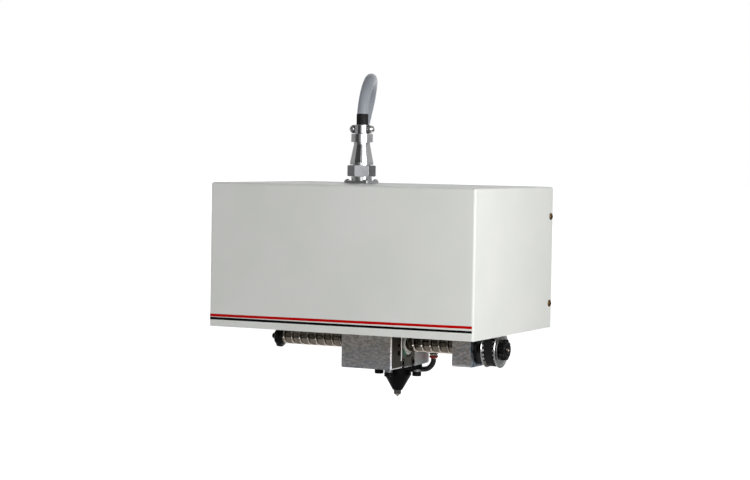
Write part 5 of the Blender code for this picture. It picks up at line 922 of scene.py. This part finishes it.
def stripe(name, ends, slot, look):
    """A thin painted band across the cover's front, between its heights at the left and right ends."""
    low_x, high_x = COVER_LOW.x + STRIPE_INSET_LEFT, COVER_HIGH.x - STRIPE_INSET_RIGHT
    front, back, edge = COVER_LOW.y - STRIPE_PROUD, COVER_LOW.y + STRIPE_PROUD, STRIPE_PROUD * 2
    bm = bmesh.new()
    rings = []
    for column in range(STRIPE_COLUMNS + 1):
        share = column / STRIPE_COLUMNS
        x = low_x + (high_x - low_x) * share
        bottom, top = [COVER_LOW.z + a + (b - a) * share for a, b in zip(*ends)]
        section = ((back, bottom), (front, bottom + edge), (front, top - edge), (back, top))
        rings.append([bm.verts.new((x, y, z)) for y, z in section])
    closed_bands(bm, rings, ends=True)
    rider(name, mesh_of(name, bm), "head", slot, look)


def socket_head(width, height, key, depth):
    """A cap screw's round head with a hexagon socket."""
    radius, half, edge = width / 2, key / 2, CAP_EDGE
    return spun([(0, 0), (radius - edge / 2, 0), (radius, edge / 2), (radius, height - edge),
                 (radius - edge, height), (half * 1.25, height), (half, height - edge / 2, 6),
                 (half, height - depth, 6), (0, height - depth - key / 6)])


def button_head(width, height, key):
    """A low domed head with a hexagon socket."""
    radius, half = width / 2, key / 2
    dome = [(radius * math.cos(turn), height * (0.12 + 0.88 * math.sin(turn)))
            for turn in (0.0, 0.25, 0.5, 0.75, 1.0)]
    return spun([(0, 0), (radius, 0)] + dome + [(half * 1.2, height), (half, height * 0.92, 6),
                                                (half, height * 0.30, 6), (0, height * 0.15)])


def flat_head(width, proud, key):
    """A countersunk head, almost flush with the face it sits in."""
    radius, half = width / 2, key / 2
    return spun([(0, -proud), (radius - 0.0003, -proud), (radius, 0), (radius, proud * 0.6),
                 (radius - 0.0003, proud), (half * 1.15, proud), (half, proud * 0.5, 6),
                 (half, -proud * 3, 6), (0, -proud * 4)])


def washers(outer, inner, height, count):
    """A stack of plain washers with fine gaps between their eased edges."""
    each = height / count
    ease = each * 0.18
    profile = [(inner, 0)]
    for index in range(count):
        low, high = index * each, (index + 1) * each
        profile += [(outer - ease * 2, low), (outer, low + ease), (outer, high - ease)]
        profile.append((outer - ease * 2, high))
    return spun(profile + [(inner, height), (inner, 0)])


def along(low, high, count):
    """The middles of equal parts between two places."""
    return [low + (high - low) * (index + 0.5) / count for index in range(count)]


def make_fasteners():
    """Every screw and washer that shows on the head."""
    right, left, front, rear, up, down = (1, 0, 0), (-1, 0, 0), (0, -1, 0), (0, 1, 0), (0, 0, 1), (0, 0, -1)
    black, plated, sides = ("black_oxide", "black_oxide"), ("nickel_plate", "zinc"), (-1, 1)

    # Cover to back plate, two at each side
    side_y = (PLATE_LOW.y - PAD_THICKNESS) / 2
    places = [((x, side_y, COVER_LOW.z + height), way) for height in COVER_SCREW_HEIGHTS
              for x, way in ((COVER_HIGH.x, right), (COVER_LOW.x, left))]
    copies("cover_screws", button_head(0.0076, 0.0022, 0.0025), places, "head", "black_oxide", "bronzed")

    # Clamp of the ball nut, in its two bores, with the worn rims of the sockets
    floor_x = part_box("nut_block")[1].x - CLAMP_SCREW_DEPTH
    spots = [(SCREW_Y + sign * CLAMP_SCREW_REACH, SCREW_Z - CLAMP_SCREW_DROP) for sign in sides]
    copies("nut_clamp_screws", socket_head(0.0108, CLAMP_SCREW_HEIGHT, 0.0056, 0.0036),
           [((floor_x, *spot), right) for spot in spots], "carriage", "black_oxide", "dry_black")
    rim = spun([(0.0029, 0), (0.0036, 0), (0.0036, 0.0002), (0.0035, 0.0003), (0.0030, 0.0003),
                (0.0029, 0.0002), (0.0029, 0)])
    copies("nut_clamp_screw_rims", rim, [((floor_x + CLAMP_SCREW_HEIGHT, *spot), right) for spot in spots],
           "carriage", "ground_steel", "socket_face")

    # Set screws in the front block's two tapped holes
    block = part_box("front_block")[1]
    inset_y = block.y - SET_SCREW_INSET
    for label, width, drop in SET_SCREWS:
        copies("front_block_screw_" + label, flat_head(width, 0.0003, width * 0.4),
               [((block.x, inset_y, SCREW_Z - drop), right)], "carriage", "black_oxide", "dry_black")

    # Stylus flange: left, front and right, each on its own washers
    reach, seat = FLANGE_SCREW_REACH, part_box("nose_cone")[1].z + FLANGE_SEAT_RISE
    spots = [(STYLUS_X - reach, STYLUS_Y), (STYLUS_X, STYLUS_Y - reach), (STYLUS_X + reach, STYLUS_Y)]
    copies("flange_washers", washers(0.0048, 0.0028, WASHER_STACK, 3),
           [((*spot, seat), down) for spot in spots], "carriage", *plated)
    copies("flange_screws", socket_head(0.0100, 0.0048, 0.0050, 0.0028),
           [((*spot, seat - WASHER_STACK), down) for spot in spots], "carriage", *black)

    # Connector flange and cord clamp
    flange_z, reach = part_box("connector_socket")[0].z + SOCKET_SEAT_RISE, SOCKET_SCREW_REACH
    places = [((CONNECTOR_X + x * reach, CONNECTOR_Y + y * reach, flange_z), up)
              for x in sides for y in sides]
    copies("socket_flange_screws", button_head(0.0056, 0.0019, 0.0018), places, "head", *plated)
    low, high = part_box("cord_clamp")
    ear_y, ear_z = CONNECTOR_Y - CLAMP_EAR_DEPTH / 2, (low.z + high.z) / 2
    places = [((CONNECTOR_X + sign * CORD_CLAMP_SCREW_REACH, ear_y, ear_z), front) for sign in sides]
    copies("cord_clamp_screws", button_head(0.0064, 0.0022, 0.0028), places, "head", *plated)

    # Motors on their brackets
    square = [(a * MOTOR_SCREW_REACH, b * MOTOR_SCREW_REACH) for a in sides for b in sides]
    face_x, wall_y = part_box("x_motor_bracket")[1].x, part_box("y_motor")[0].y - Y_BRACKET_WALL
    x_places = [((face_x, SCREW_Y + a, X_MOTOR_Z + b), right) for a, b in square]
    y_places = [((a, wall_y, Y_SCREW_Z + b), front) for a, b in square]
    for name, places, body in (("x_motor_screws", x_places, "saddle"), ("y_motor_screws", y_places, "head")):
        copies(name, socket_head(0.0055, 0.0028, 0.0025, 0.0016), places, body, *black)

    # Guide rails, seen from below
    low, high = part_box("x_rail_front")
    places = [((x, SCREW_Y + sign * X_RAIL_REACH, low.z), down)
              for x in along(low.x, high.x, 4) for sign in sides]
    copies("x_rail_screws", flat_head(0.0070, 0.0002, 0.0030), places, "saddle", *black)
    low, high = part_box("y_rail_left")
    places = [((sign * RAIL_X, y, low.z), down) for y in along(low.y, high.y, 3) for sign in sides]
    copies("y_rail_screws", flat_head(0.0075, 0.0002, 0.0030), places, "head", *black)

    # Beam to hangers, from below
    beam_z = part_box("x_beam")[0].z
    places = [((sign * RAIL_X, SCREW_Y + shift, beam_z), down)
              for sign in sides for shift in BEAM_SCREW_SHIFTS]
    copies("beam_screws", socket_head(0.0070, 0.0026, 0.0030, 0.0016), places, "saddle", *black)

    # Back plate: frame plate and gussets, countersunk so that nothing stands in the coil's way
    rear_y = PLATE_LOW.y + PLATE_THICKNESS
    frame_z = (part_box("frame_plate")[0].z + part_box("frame_plate")[1].z) / 2
    gusset_x = (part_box("gusset_right")[0].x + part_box("gusset_right")[1].x) / 2
    places = [((sign * x, rear_y, frame_z), rear) for sign in sides for x in FRAME_SCREW_X]
    places += [((sign * gusset_x, rear_y, z), rear) for sign in sides for z in GUSSET_SCREW_Z]
    copies("back_plate_screws", flat_head(0.0098, 0.0003, 0.0035), places, "head", *black)


def make_nut_cap():
    """The small green plastic cap beside the ball nut's wiper, where its balls return."""
    face_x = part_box("nut_block")[1].x
    sunk, proud = face_x - NUT_CAP_SUNK, face_x + NUT_CAP_PROUD
    (inner, outer), (start, end), steps = NUT_CAP_REACH, NUT_CAP_ANGLES, NUT_CAP_STEPS
    bm = bmesh.new()
    rings = []
    for step in range(steps + 1):
        turn = start + (end - start) * step / steps
        taper = NUT_CAP_TAPER_SHARE * abs(2 * step / steps - 1) ** 3
        near = inner + (outer - inner) * taper / 2
        far = outer - (outer - inner) * taper / 2
        section = ((near, sunk), (near, proud), (far - NUT_CAP_EDGE, proud), (far, proud - NUT_CAP_EDGE),
                   (far, sunk))
        rings.append([bm.verts.new((x, SCREW_Y + reach * math.cos(turn), SCREW_Z + reach * math.sin(turn)))
                      for reach, x in section])
    closed_bands(bm, rings, ends=True)
    rider("ball_return_cap", mesh_of("ball_return_cap", bm), "carriage", "white_plastic", "green_plastic")


def hull(points):
    """The convex outline round some flat points."""
    points = sorted(set(points))
    halves = []
    for run in (points, points[::-1]):
        half = []
        for point in run:
            while len(half) > 1 and ((half[-1][0] - half[-2][0]) * (point[1] - half[-2][1])
                                     <= (half[-1][1] - half[-2][1]) * (point[0] - half[-2][0])):
                half.pop()
            half.append(point)
        halves.append(half[:-1])
    return halves[0] + halves[1]


def make_ties():
    """Hook-and-loop straps that hold the coil's turns together."""
    centre = Vector(COIL_CENTRE)
    points = coil_points()
    inside = CORD_DIAMETER / 2 + TIE_SLACK
    section = ((0, -TIE_WIDTH / 2), (1, -TIE_WIDTH / 2), (1, TIE_WIDTH / 2), (0, TIE_WIDTH / 2))
    bm = bmesh.new()
    for turn in TIE_TURNS:
        outward = Vector((math.cos(turn), 0, math.sin(turn)))
        side = Vector((-math.sin(turn), 0, math.cos(turn)))
        strands = []
        for a, b in zip(points, points[1:]):
            da, db = (a - centre).dot(side), (b - centre).dot(side)
            if da * db <= 0 and (a - centre).dot(outward) > 0:
                cross = a.lerp(b, da / (da - db) if da != db else 0)
                strands.append(((cross - centre).dot(outward), cross.y))
        loops = []
        for reach in (inside, inside + TIE_THICKNESS):
            circle = [(u + reach * math.cos(step * math.pi / 12), v + reach * math.sin(step * math.pi / 12))
                      for u, v in strands for step in range(24)]
            loops.append(hull([(round(u, 6), round(v, 6)) for u, v in circle]))
        middle = [sum(values) / len(loops[0]) for values in zip(*loops[0])]
        rings = [[ray_hit(middle, math.tau * step / TIE_STEPS, loop) for step in range(TIE_STEPS)]
                 for loop in loops]
        verts = [[bm.verts.new(centre.xyz * Vector((1, 0, 1)) + outward * rings[layer][step][0]
                               + Vector((0, rings[layer][step][1], 0)) + side * shift)
                  for layer, shift in section] for step in range(TIE_STEPS)]
        closed_bands(bm, verts + verts[:1])
    return rider("coil_ties", mesh_of("coil_ties", bm), "head", "black_rubber", "strap")


def ray_hit(middle, angle, loop):
    """Where a ray from the middle meets a closed outline."""
    direction = (math.cos(angle), math.sin(angle))
    for (ax, ay), (bx, by) in zip(loop, loop[1:] + loop[:1]):
        ex, ey = bx - ax, by - ay
        cross = direction[0] * ey - direction[1] * ex
        if abs(cross) < 1e-12:
            continue
        along_ray = ((ax - middle[0]) * ey - (ay - middle[1]) * ex) / cross
        along_edge = ((ax - middle[0]) * direction[1] - (ay - middle[1]) * direction[0]) / cross
        if along_ray > 0 and -1e-9 <= along_edge <= 1 + 1e-9:
            return middle[0] + direction[0] * along_ray, middle[1] + direction[1] * along_ray
    raise ValueError("the outline doesn't go round its middle")


def make_plug_pins():
    """Contact pins in the far plug's open end."""
    points = coil_points()
    run = (points[-1] - points[-2]).normalized()
    start = points[-1] + run * (COIL_END_RUN + FAR_PLUG_GAP)
    floor = start + run * (FAR_PLUG_LENGTH - FAR_PLUG_RECESS)
    aside = run.orthogonal().normalized()
    pin = spun([(0, 0), (0.0008, 0), (0.0008, 0.0013), (0.0005, 0.0018), (0, 0.0019)], 12)
    places = [(floor, run)]
    for count, reach in PIN_RINGS:
        for index in range(count):
            spoke = Matrix.Rotation(math.tau * index / count, 3, run) @ aside
            places.append((floor + spoke * reach, run))
    return copies("plug_pins", pin, places, "head", "nickel_plate", "zinc")


def make_sleeve_lip():
    """The rubber sleeve's lip, which closes round the cord where it comes out."""
    low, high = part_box("cord_sleeve")
    radius, cord = (high.x - low.x) / 2, CORD_DIAMETER / 2
    lip = spun([(cord - 0.0004, 0), (radius, 0), (radius, 0.0010), (radius - 0.0003, 0.0016),
                (cord - 0.0001, 0.0020), (cord - 0.0004, 0.0020), (cord - 0.0004, 0)], FINE)
    lip.transform(Matrix.Translation((CONNECTOR_X, CONNECTOR_Y, high.z)))
    rider("cord_sleeve_lip", mesh_of("cord_sleeve_lip", lip), "head", "black_rubber", "rubber")


def toward(tree, direction, aim, start, end, peak):
    """A value that rises smoothly from 0 to its peak as the direction turns towards an aim."""
    facing = put(tree, "ShaderNodeVectorMath", {0: direction, 1: Vector(aim).normalized()},
                 operation="DOT_PRODUCT")["Value"]
    span = {"Value": facing, "From Min": start, "From Max": end, "To Max": peak}
    return put(tree, "ShaderNodeMapRange", span, interpolation_type="SMOOTHSTEP")[0]


def total(values):
    """A formula that adds up some values."""
    result = values[0]
    for value in values[1:]:
        result = ("ADD", result, value)
    return result


def white_share(tree, direction):
    """A formula: 1 for rays that see white, from the camera, through glass, or off metal to the sheet."""
    rays = put(tree, "ShaderNodeLightPath")
    mirrored = ("MULTIPLY", rays["Is Glossy Ray"], toward(tree, direction, *SHEET))
    return "MINIMUM", total([rays["Is Camera Ray"], rays["Is Transmission Ray"], mirrored]), 1.0


def make_floor():
    """Matt white floor: white to the camera and in metal, under the object's shadow, and clear from below."""
    material, tree, shader = finish("white_floor", Base_Color=linear("F4F4F4"), Emission_Color=(1, 1, 1, 1))
    rough = solved(tree, ("RANGE", noise(tree, 333), *MIDDLE, 0.85, 0.95))
    tree.links.new(rough, shader.inputs["Roughness"])
    place = put(tree, "ShaderNodeTexCoord")["Object"]
    direction = put(tree, "ShaderNodeVectorMath", {0: place}, operation="NORMALIZE")[0]
    tree.links.new(solved(tree, white_share(tree, direction)), shader.inputs["Emission Strength"])
    below = put(tree, "ShaderNodeNewGeometry")["Backfacing"]
    clear = put(tree, "ShaderNodeBsdfTransparent")[0]
    seen = put(tree, "ShaderNodeMixShader", {0: below, 1: shader.outputs[0], 2: clear})[0]
    tree.links.new(seen, tree.nodes["Material Output"].inputs["Surface"])
    mesh, size = bpy.data.meshes.new("floor"), FLOOR_SIZE
    corners = [(-size, -size, 0), (size, -size, 0), (size, size, 0), (-size, size, 0)]
    mesh.from_pydata(corners, [], [(0, 1, 2, 3)])
    mesh.materials.append(material)
    floor = linked("floor", mesh)
    floor.location = (0, 0, FLOOR_Z)


def make_walls():
    """Soft studio walls, a window that only metal sees, and white behind the object."""
    world = bpy.data.worlds.new("surroundings")
    world.use_nodes = True
    bpy.context.scene.world = world
    tree = world.node_tree
    tree.nodes.clear()
    direction = put(tree, "ShaderNodeTexCoord")["Generated"]
    glossy = put(tree, "ShaderNodeLightPath")["Is Glossy Ray"]
    zones = [toward(tree, direction, *zone) for zone in ZONES]
    share = ("RANGE", glossy, 0, 1, WALL_DIFFUSE_SHARE, 1)
    walls = ("MULTIPLY", ("ADD", total(zones), WALL_BRIGHTNESS), share)
    window = ("MULTIPLY", toward(tree, direction, *WINDOW), glossy)
    light, white = [put(tree, "ShaderNodeBackground", {"Color": (1, 1, 1, 1), "Strength": strength})[0]
                    for strength in (("ADD", walls, window), 1.0)]
    both = put(tree, "ShaderNodeMixShader", {0: white_share(tree, direction), 1: light, 2: white})[0]
    put(tree, "ShaderNodeOutputWorld", {"Surface": both})


def make_lamps():
    """Area lamps, of which metal sees only the key."""
    for name, (place, aim, size, power) in LAMPS.items():
        data = bpy.data.lights.new(name, "AREA")
        data.size = size
        data.energy = power
        lamp = linked(name, data)
        lamp.location = place
        lamp.rotation_euler = (Vector(aim) - Vector(place)).to_track_quat("-Z", "Y").to_euler()
        lamp.visible_camera = False
        lamp.visible_glossy = name == "key"


place_camera()
make_cord()
make_sleeve_lip()
make_x_screw()
make_y_screw()
make_cord_clamp()
make_lock_nut()
make_stop_ring()
make_pulley("screw_toothed_pulley", "screw_pulley", SCREW_TEETH, JOURNAL_BORE, SCREW_Z, "x_drive")
make_pulley("motor_toothed_pulley", "motor_pulley", MOTOR_TEETH, MOTOR_BORE, X_MOTOR_Z, "x_motor_rotor")
stripe("red_stripe", RED_STRIPE, "red_plastic", "red_paint")
stripe("black_stripe", BLACK_STRIPE, "black_plastic", "black_paint")
make_fasteners()
make_nut_cap()
make_floor()
make_walls()
make_lamps()
bpy.context.scene.view_settings.view_transform = "Standard"
